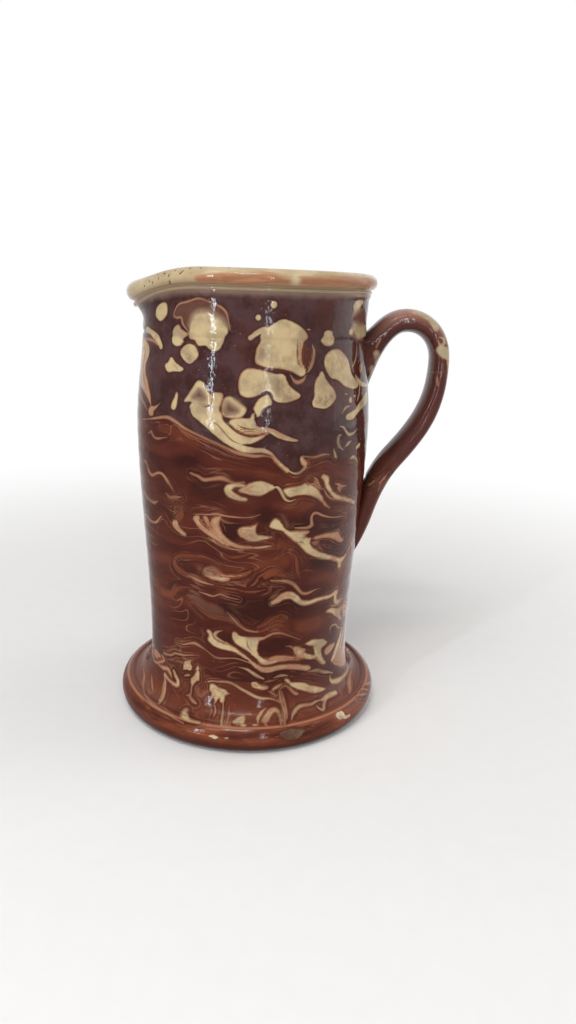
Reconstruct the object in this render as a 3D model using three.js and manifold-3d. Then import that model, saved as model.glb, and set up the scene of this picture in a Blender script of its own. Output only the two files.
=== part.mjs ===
// A glazed earthenware jug: a thrown wall on a spreading foot, a rolled rim with a pulled
// pouring lip, and a pulled strap handle. Millimetres, +Z up. The origin is the middle of the
// underside, the handle points to +X and the lip to -X.
import * as THREE from "three";
import { mergeVertices } from "three/addons/utils/BufferGeometryUtils.js";
import Module from "manifold-3d";

const wasm = await Module();
wasm.setup();

// Whole vessel
const jugHeight = 250;
const wallThickness = 6;
const luteGap = 0.3; // slip joint left between two pieces of clay
const turnSegments = 64; // facets round the wheel axis

// Wall: outer radii at four stations, eased from one to the next
const waistRadius = 58.6;
const bellyRadius = 64.2;
const neckRadius = 60.6;
const mouthRadius = 61.8;
const waistHeight = 38; // above the table, where the foot's sweep ends
const bellyHeight = 168; // above the table
const neckDrop = 14; // below the wall's top edge
const coveRadius = 8; // rounding between the wall and the floor inside
const coveSteps = 4;
const wallRings = 11; // up to where the lip's pull starts
const lipRings = 4; // from there to the top edge

// Scored line that the potter cut round the wall
const scoreDrop = 23; // below the wall's top edge
const scoreWidth = 2.2;
const scoreDepth = 0.7;

// Rolled rim and pouring lip
const rimHeight = 10;
const rimOverhang = 3.8; // bead outside the wall
const rimInset = 1.2; // bead inside the wall
const rimUndercut = 35; // degrees that the bead's round goes on below its widest line
const rimSteps = 14;
const lipReach = 4.6; // pulled outwards at its tip
const lipDrop = 9.5; // pulled down at its tip
const lipDepth = 22; // how far down the wall the pull is felt
const lipHalfAngle = 72; // degrees either side of the tip, where the rim starts to dip
const beakHalfAngle = 40; // degrees either side of the tip, where it starts to reach out

// Floor and foot
const floorThickness = 10;
const footSpread = 18.9; // out from the waist
const footEdgeHeight = 15.5;
const footRollDepth = 6.5; // radial size of the rounded edge
const footGrooveWidth = 2;
const footGrooveDepth = 1.1;
const sweepLip = 0.8; // feather edge where the sweep dies into the wall
const sweepSteps = 7;
const rollSteps = 10;

// Handle: places on its middle line, then the strap's sections
const rootDrop = 34; // upper joint, below the wall's top edge
const crownDrop = 13.3; // highest point of the middle line, below the wall's top edge
const crownReach = 19.2; // out from the belly
const handleReach = 38.5; // furthest point of the middle line, out from the belly
const handleReachDrop = 35.3; // below the wall's top edge
const lowerJointDrop = 90; // below the wall's top edge
const lowerJointReach = 16.2; // out from the belly
const tailLength = 58.6; // from the lower joint down to the tail's point
const rootRise = 16.6; // degrees above level as the strap leaves the wall
const jointSlope = 50.4; // degrees below level as it comes back
const tailLean = 69; // degrees below level at the tail's point
const bendFullness = 0.4; // how far each bend holds its direction, as a share of its chord
const rootThickness = 47.6;
const crownThickness = 12.4;
const strapThickness = 10.2;
const jointThickness = 12.5;
const tailThickness = 5;
const rootWidth = 34;
const strapWidth = 23;
const jointWidth = 24;
const tailWidth = 11;
const rootFillet = 5.8; // how sharply the root thins, as a power of what is left to the crown
const tailHold = 2.7; // how long the tail keeps its thickness, as a power of the way to its point
const rootStub = 15; // length of the root pad along the middle line
const buryDepth = 8; // how far inside the wall the root starts before it is trimmed
const strapRoundness = 2.5; // 2 is an ellipse, more is squarer
const sectionPoints = 18;
const stepLength = 5;
const rootStep = 2; // closer, where the root thins

const wallTop = jugHeight - rimHeight;
const lipStart = wallTop - lipDepth; // height where the lip's pull starts
const waistInside = waistRadius - wallThickness;

const ease = (t) => {
  const s = THREE.MathUtils.clamp(t, 0, 1);
  return s * s * (3 - 2 * s);
};

// Outer radius of the wall at a height, without the lip's pull
function wallRadius(z) {
  const stations = [
    [waistHeight, waistRadius],
    [bellyHeight, bellyRadius],
    [wallTop - neckDrop, neckRadius],
    [wallTop, mouthRadius],
  ];
  let radius = waistRadius;
  for (let i = 1; i < stations.length; i += 1) {
    const [lowZ, lowRadius] = stations[i - 1];
    const [highZ, highRadius] = stations[i];
    if (z >= lowZ) {
      radius = lowRadius + (highRadius - lowRadius) * ease((z - lowZ) / (highZ - lowZ));
    }
  }
  return radius;
}

// A profile of [radius, z] pairs turned round the Z axis
function turned(profile) {
  const points = profile.map(([radius, z]) => new THREE.Vector2(radius, z));
  const geometry = new THREE.LatheGeometry(points, turnSegments);
  return geometry.rotateX(Math.PI / 2);
}

// The potter's finger draws the rim and the top of the wall outwards and down at the lip
function pullLip(geometry) {
  const position = geometry.attributes.position;
  const point = new THREE.Vector3();
  for (let i = 0; i < position.count; i += 1) {
    point.fromBufferAttribute(position, i);
    const away = Math.abs(THREE.MathUtils.radToDeg(Math.atan2(point.y, -point.x)));
    const felt = ease((point.z - lipStart) / lipDepth);
    const dip = ease(1 - away / lipHalfAngle) * felt;
    const beak = ease(1 - away / beakHalfAngle) * felt;
    const radius = Math.hypot(point.x, point.y);
    const grown = radius > 0 ? (radius + lipReach * beak * beak) / radius : 1;
    position.setXYZ(i, point.x * grown, point.y * grown, point.z - lipDrop * dip);
  }
  geometry.computeVertexNormals();
  return geometry;
}

// A geometry as a solid that can be cut
function solid(geometry) {
  const bare = geometry.clone();
  bare.deleteAttribute("normal");
  bare.deleteAttribute("uv");
  const merged = mergeVertices(bare, 1e-4);
  const mesh = new wasm.Mesh({
    numProp: 3,
    vertProperties: Float32Array.from(merged.attributes.position.array),
    triVerts: Uint32Array.from(merged.index.array),
  });
  return new wasm.Manifold(mesh);
}

function fromSolid(body) {
  const mesh = body.getMesh();
  const geometry = new THREE.BufferGeometry();
  geometry.setAttribute("position", new THREE.BufferAttribute(Float32Array.from(mesh.vertProperties), 3));
  geometry.setIndex(new THREE.BufferAttribute(Uint32Array.from(mesh.triVerts), 1));
  geometry.computeVertexNormals();
  return geometry;
}

// Floor: a plain disc that the wall stands on
function floorSlab() {
  return turned([
    [0, 0],
    [waistRadius, 0],
    [waistRadius, floorThickness],
    [0, floorThickness],
  ]);
}

// Ring heights from a height up to the wall's top edge, closer together where the lip is pulled
function ringHeights(bottom) {
  const heights = [];
  for (let i = 0; i < wallRings; i += 1) {
    heights.push(bottom + ((lipStart - bottom) * i) / wallRings);
  }
  for (let i = 0; i <= lipRings; i += 1) {
    heights.push(lipStart + (lipDepth * i) / lipRings);
  }
  return heights;
}

// Outer line of the wall from the floor to its top edge, with the scored line cut in
function wallOutline(offset) {
  const scoreZ = wallTop - scoreDrop;
  const clear = ringHeights(floorThickness).filter((z) => Math.abs(z - scoreZ) > scoreWidth);
  const heights = [...clear, scoreZ - scoreWidth / 2, scoreZ, scoreZ + scoreWidth / 2];
  heights.sort((a, b) => a - b);
  return heights.map((z) => [wallRadius(z) + offset - (z === scoreZ ? scoreDepth : 0), z]);
}

// Wall: a thrown tube whose inside follows the outside, with a cove at the floor
function bodyWall() {
  const outside = wallOutline(0);
  const coveTop = floorThickness + coveRadius;
  const inside = ringHeights(coveTop).map((z) => [wallRadius(z) - wallThickness, z]);
  const cove = [];
  for (let i = 1; i <= coveSteps; i += 1) {
    const angle = (i / coveSteps) * (Math.PI / 2);
    cove.push([waistInside - coveRadius * (1 - Math.cos(angle)), coveTop - coveRadius * Math.sin(angle)]);
  }
  const profile = [...outside, ...inside.reverse(), ...cove];
  return pullLip(turned([...profile, profile[0]]));
}

// Rim: a fat bead with a flat seat on the wall's top edge
function rimRoll() {
  const seat = wallTop + luteGap;
  const undercut = THREE.MathUtils.degToRad(rimUndercut);
  const halfWidth = (rimInset + wallThickness + rimOverhang) / 2;
  const halfHeight = (jugHeight - seat) / (1 + Math.sin(undercut));
  const middle = mouthRadius + rimOverhang - halfWidth;
  const profile = [];
  for (let i = 0; i <= rimSteps; i += 1) {
    const angle = (Math.PI + 2 * undercut) * (i / rimSteps) - undercut;
    profile.push([middle + halfWidth * Math.cos(angle), jugHeight - halfHeight * (1 - Math.sin(angle))]);
  }
  return pullLip(turned([...profile, profile[0]]));
}

// Foot: a flat ring with a rolled edge, a groove, and a hollow sweep that dies into the wall
function footFlange() {
  const inner = waistRadius + luteGap;
  const rollMiddle = waistRadius + footSpread - footRollDepth;
  const rollRise = footEdgeHeight / 2;
  const profile = [[inner, 0]];
  for (let i = 0; i <= rollSteps; i += 1) {
    const angle = Math.PI * (i / rollSteps - 0.5);
    profile.push([rollMiddle + footRollDepth * Math.cos(angle), rollRise * (1 + Math.sin(angle))]);
  }
  profile.push([rollMiddle - footGrooveWidth / 2, footEdgeHeight - footGrooveDepth]);
  const sweep = new THREE.QuadraticBezierCurve(
    new THREE.Vector2(rollMiddle - footGrooveWidth, footEdgeHeight),
    new THREE.Vector2(inner + sweepLip, footEdgeHeight + footGrooveDepth),
    new THREE.Vector2(inner + sweepLip, waistHeight),
  );
  for (const point of sweep.getPoints(sweepSteps)) {
    profile.push([point.x, point.y]);
  }
  profile.push([inner, waistHeight]);
  return turned([...profile, profile[0]]);
}

// Middle line of the handle in the XZ plane: out of the wall, over the crown, down to the lower joint
// and along the wall to the tail's point
function handlePath() {
  const below = (drop) => wallTop - drop;
  const tailZ = below(lowerJointDrop) - tailLength;
  const root = new THREE.Vector3(wallRadius(below(rootDrop)) - buryDepth, 0, below(rootDrop));
  const crown = new THREE.Vector3(bellyRadius + crownReach, 0, below(crownDrop));
  const reach = new THREE.Vector3(bellyRadius + handleReach, 0, below(handleReachDrop));
  const joint = new THREE.Vector3(bellyRadius + lowerJointReach, 0, below(lowerJointDrop));
  const tail = new THREE.Vector3(wallRadius(tailZ) - tailThickness / 2, 0, tailZ);
  const heading = (degrees) => {
    const angle = THREE.MathUtils.degToRad(degrees);
    return new THREE.Vector3(Math.cos(angle), 0, Math.sin(angle));
  };
  const bend = (from, fromHeading, to, toHeading) => {
    const hold = from.distanceTo(to) * bendFullness;
    const leave = heading(fromHeading).multiplyScalar(hold).add(from);
    const arrive = heading(toHeading).multiplyScalar(-hold).add(to);
    return new THREE.CubicBezierCurve3(from, leave, arrive, to);
  };
  const path = new THREE.CurvePath();
  path.add(bend(root, rootRise, crown, 0));
  path.add(bend(crown, 0, reach, -90));
  path.add(bend(reach, -90, joint, jointSlope - 180));
  path.add(bend(joint, jointSlope - 180, tail, tailLean - 180));
  return path;
}

// Thickness and width of the strap at a distance along the middle line. The root thins quickly, as a
// thumbed fillet does, the strap eases from place to place, and the tail thins late.
function strapSize(path, distance) {
  const places = [0, ...path.getCurveLengths()];
  const thickness = [rootThickness, crownThickness, strapThickness, jointThickness, tailThickness];
  const width = [rootWidth, strapWidth, strapWidth, jointWidth, tailWidth];
  let i = 0;
  while (i < places.length - 2 && distance > places[i + 1]) {
    i += 1;
  }
  const share = (distance - places[i]) / (places[i + 1] - places[i]);
  const blends = [1 - (1 - share) ** rootFillet, ease(share), ease(share), share ** tailHold];
  const blend = blends[i];
  return {
    thickness: THREE.MathUtils.lerp(thickness[i], thickness[i + 1], blend),
    width: THREE.MathUtils.lerp(width[i], width[i + 1], blend),
  };
}

// A closed loft of rounded sections along part of the handle's middle line
function strapLoft(path, from, to, step) {
  const total = path.getLength();
  const steps = Math.max(2, Math.round((to - from) / step));
  const vertices = [];
  const triangles = [];
  for (let i = 0; i <= steps; i += 1) {
    const distance = from + ((to - from) * i) / steps;
    const middle = path.getPointAt(distance / total);
    const along = path.getTangentAt(distance / total);
    const outwards = new THREE.Vector3(along.z, 0, -along.x);
    const size = strapSize(path, distance);
    for (let k = 0; k < sectionPoints; k += 1) {
      const angle = (2 * Math.PI * k) / sectionPoints;
      const round = (value) => Math.sign(value) * Math.abs(value) ** (2 / strapRoundness);
      const thick = (round(Math.cos(angle)) * size.thickness) / 2;
      const wide = (round(Math.sin(angle)) * size.width) / 2;
      vertices.push(middle.x + outwards.x * thick, wide, middle.z + outwards.z * thick);
    }
  }
  for (let i = 0; i < steps; i += 1) {
    for (let k = 0; k < sectionPoints; k += 1) {
      const next = (k + 1) % sectionPoints;
      const a = i * sectionPoints + k;
      const b = i * sectionPoints + next;
      triangles.push(a, b, a + sectionPoints, b, b + sectionPoints, a + sectionPoints);
    }
  }
  const last = steps * sectionPoints;
  for (let k = 1; k < sectionPoints - 1; k += 1) {
    triangles.push(0, k + 1, k, last, last + k, last + k + 1);
  }
  const geometry = new THREE.BufferGeometry();
  geometry.setAttribute("position", new THREE.Float32BufferAttribute(vertices, 3));
  geometry.setIndex(triangles);
  return geometry;
}

// The handle's three pieces, trimmed to lie on the wall
function handlePieces() {
  const path = handlePath();
  const lengths = path.getCurveLengths();
  const rootEnd = buryDepth + rootStub;
  const strapEnd = lengths[2];
  const total = lengths[3];
  const plug = solid(turned([[0, floorThickness], ...wallOutline(luteGap), [0, wallTop]]));
  const trimmed = (from, to, step) => fromSolid(solid(strapLoft(path, from, to, step)).subtract(plug));
  return {
    root: trimmed(0, rootEnd - luteGap / 2, rootStep),
    strap: trimmed(rootEnd + luteGap / 2, strapEnd - luteGap / 2, stepLength),
    tail: trimmed(strapEnd + luteGap / 2, total, stepLength),
  };
}

// Finishes: glaze colours and how matt each one is
const marbledGlaze = { color: 0x6a2f20, roughness: 0.2 };
const footGlaze = { color: 0x74351f, roughness: 0.25 };
const creamGlaze = { color: 0xb9966b, roughness: 0.25 };
const handleGlaze = { color: 0x4c211a, roughness: 0.2 };
const bareClay = { color: 0x8a4a2e, roughness: 0.85 };

const jug = new THREE.Group();
function place(name, geometry, finish) {
  const mesh = new THREE.Mesh(geometry, new THREE.MeshStandardMaterial({ ...finish, metalness: 0 }));
  mesh.name = name;
  jug.add(mesh);
}

const handle = handlePieces();
place("floor_slab", floorSlab(), bareClay);
place("foot_flange", footFlange(), footGlaze);
place("body_wall", bodyWall(), marbledGlaze);
place("rim_roll", rimRoll(), creamGlaze);
place("handle_root", handle.root, handleGlaze);
place("handle_strap", handle.strap, handleGlaze);
place("handle_tail", handle.tail, handleGlaze);

export default jug;
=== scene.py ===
import math

import bpy
import numpy as np
from mathutils import Matrix, Vector


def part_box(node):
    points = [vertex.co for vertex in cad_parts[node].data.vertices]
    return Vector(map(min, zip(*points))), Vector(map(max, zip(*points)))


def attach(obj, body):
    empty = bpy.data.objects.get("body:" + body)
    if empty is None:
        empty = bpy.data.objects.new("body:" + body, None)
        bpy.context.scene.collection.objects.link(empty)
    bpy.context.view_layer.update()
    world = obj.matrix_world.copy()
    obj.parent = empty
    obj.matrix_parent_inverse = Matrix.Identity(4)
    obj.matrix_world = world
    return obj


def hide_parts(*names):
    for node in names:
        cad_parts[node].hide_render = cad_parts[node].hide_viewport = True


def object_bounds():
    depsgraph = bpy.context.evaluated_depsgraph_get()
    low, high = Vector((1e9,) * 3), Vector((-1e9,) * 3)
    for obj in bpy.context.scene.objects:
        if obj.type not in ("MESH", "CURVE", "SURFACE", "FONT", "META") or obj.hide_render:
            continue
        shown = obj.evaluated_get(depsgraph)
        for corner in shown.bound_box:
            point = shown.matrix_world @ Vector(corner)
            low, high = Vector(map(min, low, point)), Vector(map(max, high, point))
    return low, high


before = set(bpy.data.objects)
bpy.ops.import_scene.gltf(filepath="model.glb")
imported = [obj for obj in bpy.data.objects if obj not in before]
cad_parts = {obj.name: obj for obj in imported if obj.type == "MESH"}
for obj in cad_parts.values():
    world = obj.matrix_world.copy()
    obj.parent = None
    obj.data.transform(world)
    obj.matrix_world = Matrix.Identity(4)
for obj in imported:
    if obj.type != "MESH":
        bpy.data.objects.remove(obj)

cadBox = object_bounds()
mm = 0.001  # the clay is measured in millimetres, the scene in metres
unrolled = 62.0  # mm, radius at which marks are read: across = angle from the front * unrolled
quarter = unrolled * math.pi / 2
backCrowding = 20.0  # mm, how far the marks of the back are pushed together
print("frame loaded:", ", ".join(sorted(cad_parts)))


class Value:  # one socket that can stand in an expression
    def __init__(self, graph, socket):
        self.graph = graph
        self.socket = socket

    def __add__(self, other):
        return self.graph.math("ADD", self, other)

    def __sub__(self, other):
        return self.graph.math("SUBTRACT", self, other)

    def __rsub__(self, other):
        return self.graph.math("SUBTRACT", other, self)

    def __mul__(self, other):
        return self.graph.math("MULTIPLY", self, other)

    def __truediv__(self, other):
        return self.graph.math("DIVIDE", self, other)

    def __rtruediv__(self, other):
        return self.graph.math("DIVIDE", other, self)

    def __pow__(self, other):
        return self.graph.math("POWER", self, other)

    def __abs__(self):
        return self.graph.math("ABSOLUTE", self)

    __radd__ = __add__
    __rmul__ = __mul__

    def most(self, other):
        return self.graph.math("MAXIMUM", self, other)

    def ease(self, low, high):  # 0 at low, 1 at high, smooth between
        sockets = {"Value": self, "From Min": low, "From Max": high}
        return self.graph.add("ShaderNodeMapRange", {"interpolation_type": "SMOOTHSTEP"}, sockets)

    def part(self, name):  # another output of the same node
        return Value(self.graph, self.socket.node.outputs[name])


class Graph:  # a node tree that is written as expressions
    def __init__(self, tree):
        self.tree = tree

    def add(self, kind, settings=None, sockets=None, out=0):
        node = self.tree.nodes.new(kind)
        for name, setting in (settings or {}).items():
            if name == "stops":
                ramp = node.color_ramp.elements
                while len(ramp) < len(setting):
                    ramp.new(1.0)
                for element, (place, colour) in zip(ramp, setting):
                    element.position = place
                    element.color = colour
            else:
                setattr(node, name, setting)
        for key, value in (sockets or {}).items():
            if isinstance(value, Value):
                self.tree.links.new(value.socket, node.inputs[key])
            else:
                node.inputs[key].default_value = value
        return Value(self, node.outputs[out]) if len(node.outputs) else node

    def math(self, operation, *values):
        return self.add("ShaderNodeMath", {"operation": operation}, dict(enumerate(values)))

    def vector(self, operation, first, second):
        return self.add("ShaderNodeVectorMath", {"operation": operation}, {0: first, 1: second})

    def mix(self, share, first, second):  # of two colours
        return self.add("ShaderNodeMix", {"data_type": "RGBA"}, {0: share, 6: first, 7: second}, out=2)

    def joined(self, x, y, z):
        return self.add("ShaderNodeCombineXYZ", {}, {"X": x, "Y": y, "Z": z})

    def noise(self, where, scale, detail=3.0, rough=0.5, distortion=0.0, seed=0.0):
        sockets = {"Vector": where, "W": seed, "Scale": scale, "Detail": detail, "Roughness": rough}
        sockets["Distortion"] = distortion
        return self.add("ShaderNodeTexNoise", {"noise_dimensions": "4D"}, sockets)

    def ramp(self, share, stops):
        return self.add("ShaderNodeValToRGB", {"stops": stops}, {"Fac": share})

    def field(self, name):  # a value that the mesh carries
        return self.add("ShaderNodeAttribute", {"attribute_name": name}, out="Fac")


def rgb(red, green, blue):
    return (red, green, blue, 1.0)


def ease(share):
    share = np.clip(share, 0, 1)
    return share * share * (3 - 2 * share)


def stood(radii, heights):  # points of a profile, out from the axis and up
    return np.stack([radii, 0 * radii, heights], 1)


def lengthAlong(points):
    return np.concatenate([[0], np.cumsum(np.hypot(*np.diff(points, axis=0).T))])


def newMaterial(name):
    material = bpy.data.materials.new(name)
    material.use_nodes = True
    material.node_tree.nodes.clear()
    return material, Graph(material.node_tree)


# Camera and studio
studio = {
    "cameraPlace": (0.0, -0.437, 0.2398),
    "pitchDown": 16.0,  # degrees
    "yaw": 2.81,  # degrees, towards the handle
    "roll": 1.94,  # degrees
    "lens": 27.0,  # mm, on a 36 mm sensor
    "nearest": 0.01,  # where the camera starts to see
    "floorSize": 8.0,
    "floorDrop": 0.0002,  # below the foot, so that the two share no face
    "floorColour": rgb(0.84, 0.83, 0.82),
    "floorGrain": rgb(0.88, 0.87, 0.86),
    "fadeStart": 0.16,  # distance from the axis where the floor starts to fade into the white
    "fadeEnd": 0.7,
    "mirrorFade": 0.92,  # least share of the room's light in the floor that the glaze mirrors
    "fill": 0.48,  # light from all round
    "roomShade": 0.3,  # the room on the camera's side, as the glaze mirrors it
    "backdropSide": (0.66, 0.745, 0.1),  # where the white backdrop stands
    "backdropEdge": (-0.35, 0.55),  # how far it reaches round, as cosines of the angle to its side
    "lamps": {  # place, width, height, watts, colour
        "overhead_soft": ((-0.35, -0.75, 1.45), 1.1, 0.9, 8.0, (1.0, 0.97, 0.93)),
        "side_wide": ((1.25, 0.25, 0.45), 0.95, 1.0, 3.8, (1.0, 0.98, 0.96)),
        "side_soft": ((1.25, 0.25, 0.45), 0.7, 0.8, 2.3, (1.0, 0.98, 0.96)),
        "side_core": ((1.25, 0.25, 0.45), 0.45, 0.6, 1.1, (1.0, 0.98, 0.96)),
        "ceiling_strip": ((-0.12, -0.62, 1.05), 0.34, 0.03, 2.0, (1.0, 0.97, 0.93)),
        "window_left": ((-0.66, -0.78, 0.30), 0.034, 0.5, 3.6, (0.80, 0.90, 1.0)),
        "window_right": ((0.22, -1.02, 0.28), 0.014, 0.46, 1.5, (0.80, 0.90, 1.0)),
    },
    "lampsAimAt": (0.0, 0.0, 0.13),
}


def placeCamera():
    camera = bpy.data.objects.new("camera", bpy.data.cameras.new("camera"))
    camera.data.lens = studio["lens"]
    camera.data.clip_start = studio["nearest"]
    bpy.context.scene.collection.objects.link(camera)
    pitch, yaw, roll = (math.radians(studio[name]) for name in ("pitchDown", "yaw", "roll"))
    heading = Matrix.Rotation(-yaw, 4, "Z") @ Matrix.Rotation(math.pi / 2 - pitch, 4, "X")
    camera.location = studio["cameraPlace"]
    camera.rotation_euler = (heading @ Matrix.Rotation(roll, 4, "Z")).to_euler()
    bpy.context.scene.camera = camera


def seenDirectly(graph):  # 1 for rays that show the white backdrop, in the picture or in the glaze
    path = graph.add("ShaderNodeLightPath", out="Is Camera Ray")
    return path.most(path.part("Is Glossy Ray")).most(path.part("Is Transmission Ray"))


def roomLight(graph, way):  # white to the camera, darker on the camera's side where the glaze mirrors it
    sockets = {0: way, 1: studio["backdropSide"]}
    facing = graph.add("ShaderNodeVectorMath", {"operation": "DOT_PRODUCT"}, sockets, "Value")
    path = graph.add("ShaderNodeLightPath", out="Is Camera Ray")
    return path.most(studio["roomShade"] + (1.0 - studio["roomShade"]) * facing.ease(*studio["backdropEdge"]))


def lightStudio():
    world = bpy.data.worlds.new("studio")
    bpy.context.scene.world = world
    world.use_nodes = True
    world.node_tree.nodes.clear()
    graph = Graph(world.node_tree)
    way = graph.add("ShaderNodeTexCoord", out="Generated")
    seen = seenDirectly(graph)
    strength = studio["fill"] * (1.0 - seen) + roomLight(graph, way) * seen
    sky = graph.add("ShaderNodeBackground", {}, {"Color": rgb(1, 1, 1), "Strength": strength})
    graph.add("ShaderNodeOutputWorld", {}, {"Surface": sky})
    for name, (place, width, height, watts, colour) in studio["lamps"].items():
        lamp = bpy.data.objects.new(name, bpy.data.lights.new(name, "AREA"))
        lamp.data.shape = "RECTANGLE"
        lamp.data.size = width
        lamp.data.size_y = height
        lamp.data.energy = watts
        lamp.data.color = colour
        lamp.location = place
        aim = Vector(studio["lampsAimAt"]) - Vector(place)
        lamp.rotation_euler = aim.to_track_quat("-Z", "Y").to_euler()
        bpy.context.scene.collection.objects.link(lamp)


def layFloor():
    half = studio["floorSize"] / 2
    mesh = bpy.data.meshes.new("floor")
    level = -studio["floorDrop"]
    spots = [(-half, -half, level), (half, -half, level), (half, half, level), (-half, half, level)]
    mesh.from_pydata(spots, [], [(0, 1, 2, 3)])
    material, graph = newMaterial("pale floor")
    place = graph.add("ShaderNodeTexCoord", out="Object")
    away = graph.add("ShaderNodeVectorMath", {"operation": "LENGTH"}, {0: place}, out="Value")
    grain = graph.noise(place, 90.0, 4.0)
    tone = graph.mix(grain, studio["floorColour"], studio["floorGrain"])
    matt = graph.add("ShaderNodeBsdfDiffuse", {}, {"Color": tone})
    way = graph.add("ShaderNodeVectorMath", {"operation": "NORMALIZE"}, {0: place})
    white = graph.add("ShaderNodeEmission", {}, {"Color": roomLight(graph, way), "Strength": 1.0})
    path = graph.add("ShaderNodeLightPath", out="Is Camera Ray")
    share = away.ease(studio["fadeStart"], studio["fadeEnd"]).most((1 - path) * studio["mirrorFade"])
    share = share * seenDirectly(graph)
    surface = graph.add("ShaderNodeMixShader", {}, {0: share, 1: matt, 2: white})
    graph.add("ShaderNodeOutputMaterial", {}, {"Surface": surface})
    mesh.materials.append(material)
    floor = bpy.data.objects.new("floor", mesh)
    bpy.context.scene.collection.objects.link(floor)


placeCamera()
lightStudio()
layFloor()
bpy.context.scene.view_settings.view_transform = "Standard"
print("camera, lamps and floor placed")


# Trees that shape the clay
weld = 0.01 * mm  # corners closer than this become one
wheelWobble = 21.0  # noise scale of the hand's wobble on the wheel
strapWobble = 45.0  # and along the strap
stillAxis = 20.0  # mm from the axis over which the wobble grows


def newTree(name, inputs):
    tree = bpy.data.node_groups.new(name, "GeometryNodeTree")
    tree.interface.new_socket("Geometry", in_out="INPUT", socket_type="NodeSocketGeometry")
    for label, kind in inputs.items():
        tree.interface.new_socket(label, in_out="INPUT", socket_type="NodeSocket" + kind)
    tree.interface.new_socket("Geometry", in_out="OUTPUT", socket_type="NodeSocketGeometry")
    graph = Graph(tree)
    given = tree.nodes.new("NodeGroupInput")
    return tree, graph, {socket.name: Value(graph, socket) for socket in given.outputs if socket.name}


def sampled(graph, line, name, kind, row):
    value = graph.add("GeometryNodeInputNamedAttribute", {"data_type": kind}, {"Name": name})
    sockets = {"Geometry": line, "Value": value, "Index": row}
    return graph.add("GeometryNodeSampleIndex", {"data_type": kind, "domain": "POINT"}, sockets)


def gridOver(graph, line, columns):  # a grid with one row for each point of the line
    size = graph.add("GeometryNodeAttributeDomainSize", {"component": "MESH"}, {"Geometry": line})
    rows = size.part("Point Count")
    grid = graph.add("GeometryNodeMeshGrid", {}, {"Vertices X": columns + 1, "Vertices Y": rows})
    index = graph.add("GeometryNodeInputIndex")
    column = graph.math("FLOOR", index / rows)
    return grid, column, index - column * rows


def kept(graph, clay, name, value):
    sockets = {"Geometry": clay, "Name": name, "Value": value}
    return graph.add("GeometryNodeStoreNamedAttribute", {"data_type": "FLOAT", "domain": "POINT"}, sockets)


def finishTree(graph, clay, glaze):
    clay = graph.add("GeometryNodeMergeByDistance", {}, {"Geometry": clay, "Distance": weld})
    clay = graph.add("GeometryNodeSetShadeSmooth", {}, {"Geometry": clay, "Shade Smooth": True})
    clay = graph.add("GeometryNodeRealizeInstances", {}, {"Geometry": clay})
    clay = graph.add("GeometryNodeSetMaterial", {}, {"Geometry": clay, "Material": glaze})
    graph.add("NodeGroupOutput", {}, {"Geometry": clay})


def wheelTree():  # turns a profile round the axis, pulls the lip and lets the hand wobble a little
    labels = ["Front Packing", "Lip Reach", "Lip Drop", "Lip Start", "Lip Depth", "Lip Half Angle",
              "Beak Half Angle", "Swell", "Swell Radius", "Swell Height", "Wobble"]
    inputs = {"Columns": "Int", "Seed": "Float", "Glaze": "Material"}
    inputs.update({label: "Float" for label in labels})
    tree, graph, given = newTree("turn on the wheel", inputs)
    line = given["Geometry"]
    grid, column, row = gridOver(graph, line, given["Columns"])
    turn = column / given["Columns"]
    swing = graph.math("SINE", turn * math.tau)
    angle = (turn - 0.5) * math.tau + given["Front Packing"] * swing
    spot = sampled(graph, line, "position", "FLOAT_VECTOR", row)
    corner = graph.add("ShaderNodeSeparateXYZ", {}, {"Vector": spot})
    radius = corner.part("X")
    height = corner.part("Z")
    away = abs(angle + math.pi / 2)
    felt = ((height - given["Lip Start"]) / given["Lip Depth"]).ease(0, 1)
    dip = (1 - away / given["Lip Half Angle"]).ease(0, 1) * felt
    beak = (1 - away / given["Beak Half Angle"]).ease(0, 1) * felt
    swell = given["Swell"] * beak
    radius = radius + (radius - given["Swell Radius"]) * swell
    height = height + (height - given["Swell Height"]) * swell
    across = graph.math("SINE", angle)
    back = graph.math("COSINE", angle) * -1.0
    spot = graph.joined(across * radius, back * radius, height)
    wobble = (graph.noise(spot, wheelWobble, 1.0, seed=given["Seed"]) - 0.5) * 2 * given["Wobble"]
    radius = radius + given["Lip Reach"] * beak * beak * felt ** 3 + wobble * (radius / mm).ease(0, stillAxis)
    spot = graph.joined(across * radius, back * radius, height - given["Lip Drop"] * dip)
    clay = graph.add("GeometryNodeSetPosition", {}, {"Geometry": grid, "Position": spot})
    clay = kept(graph, clay, "up", sampled(graph, line, "up", "FLOAT", row))
    finishTree(graph, clay, given["Glaze"])
    return tree


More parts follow.
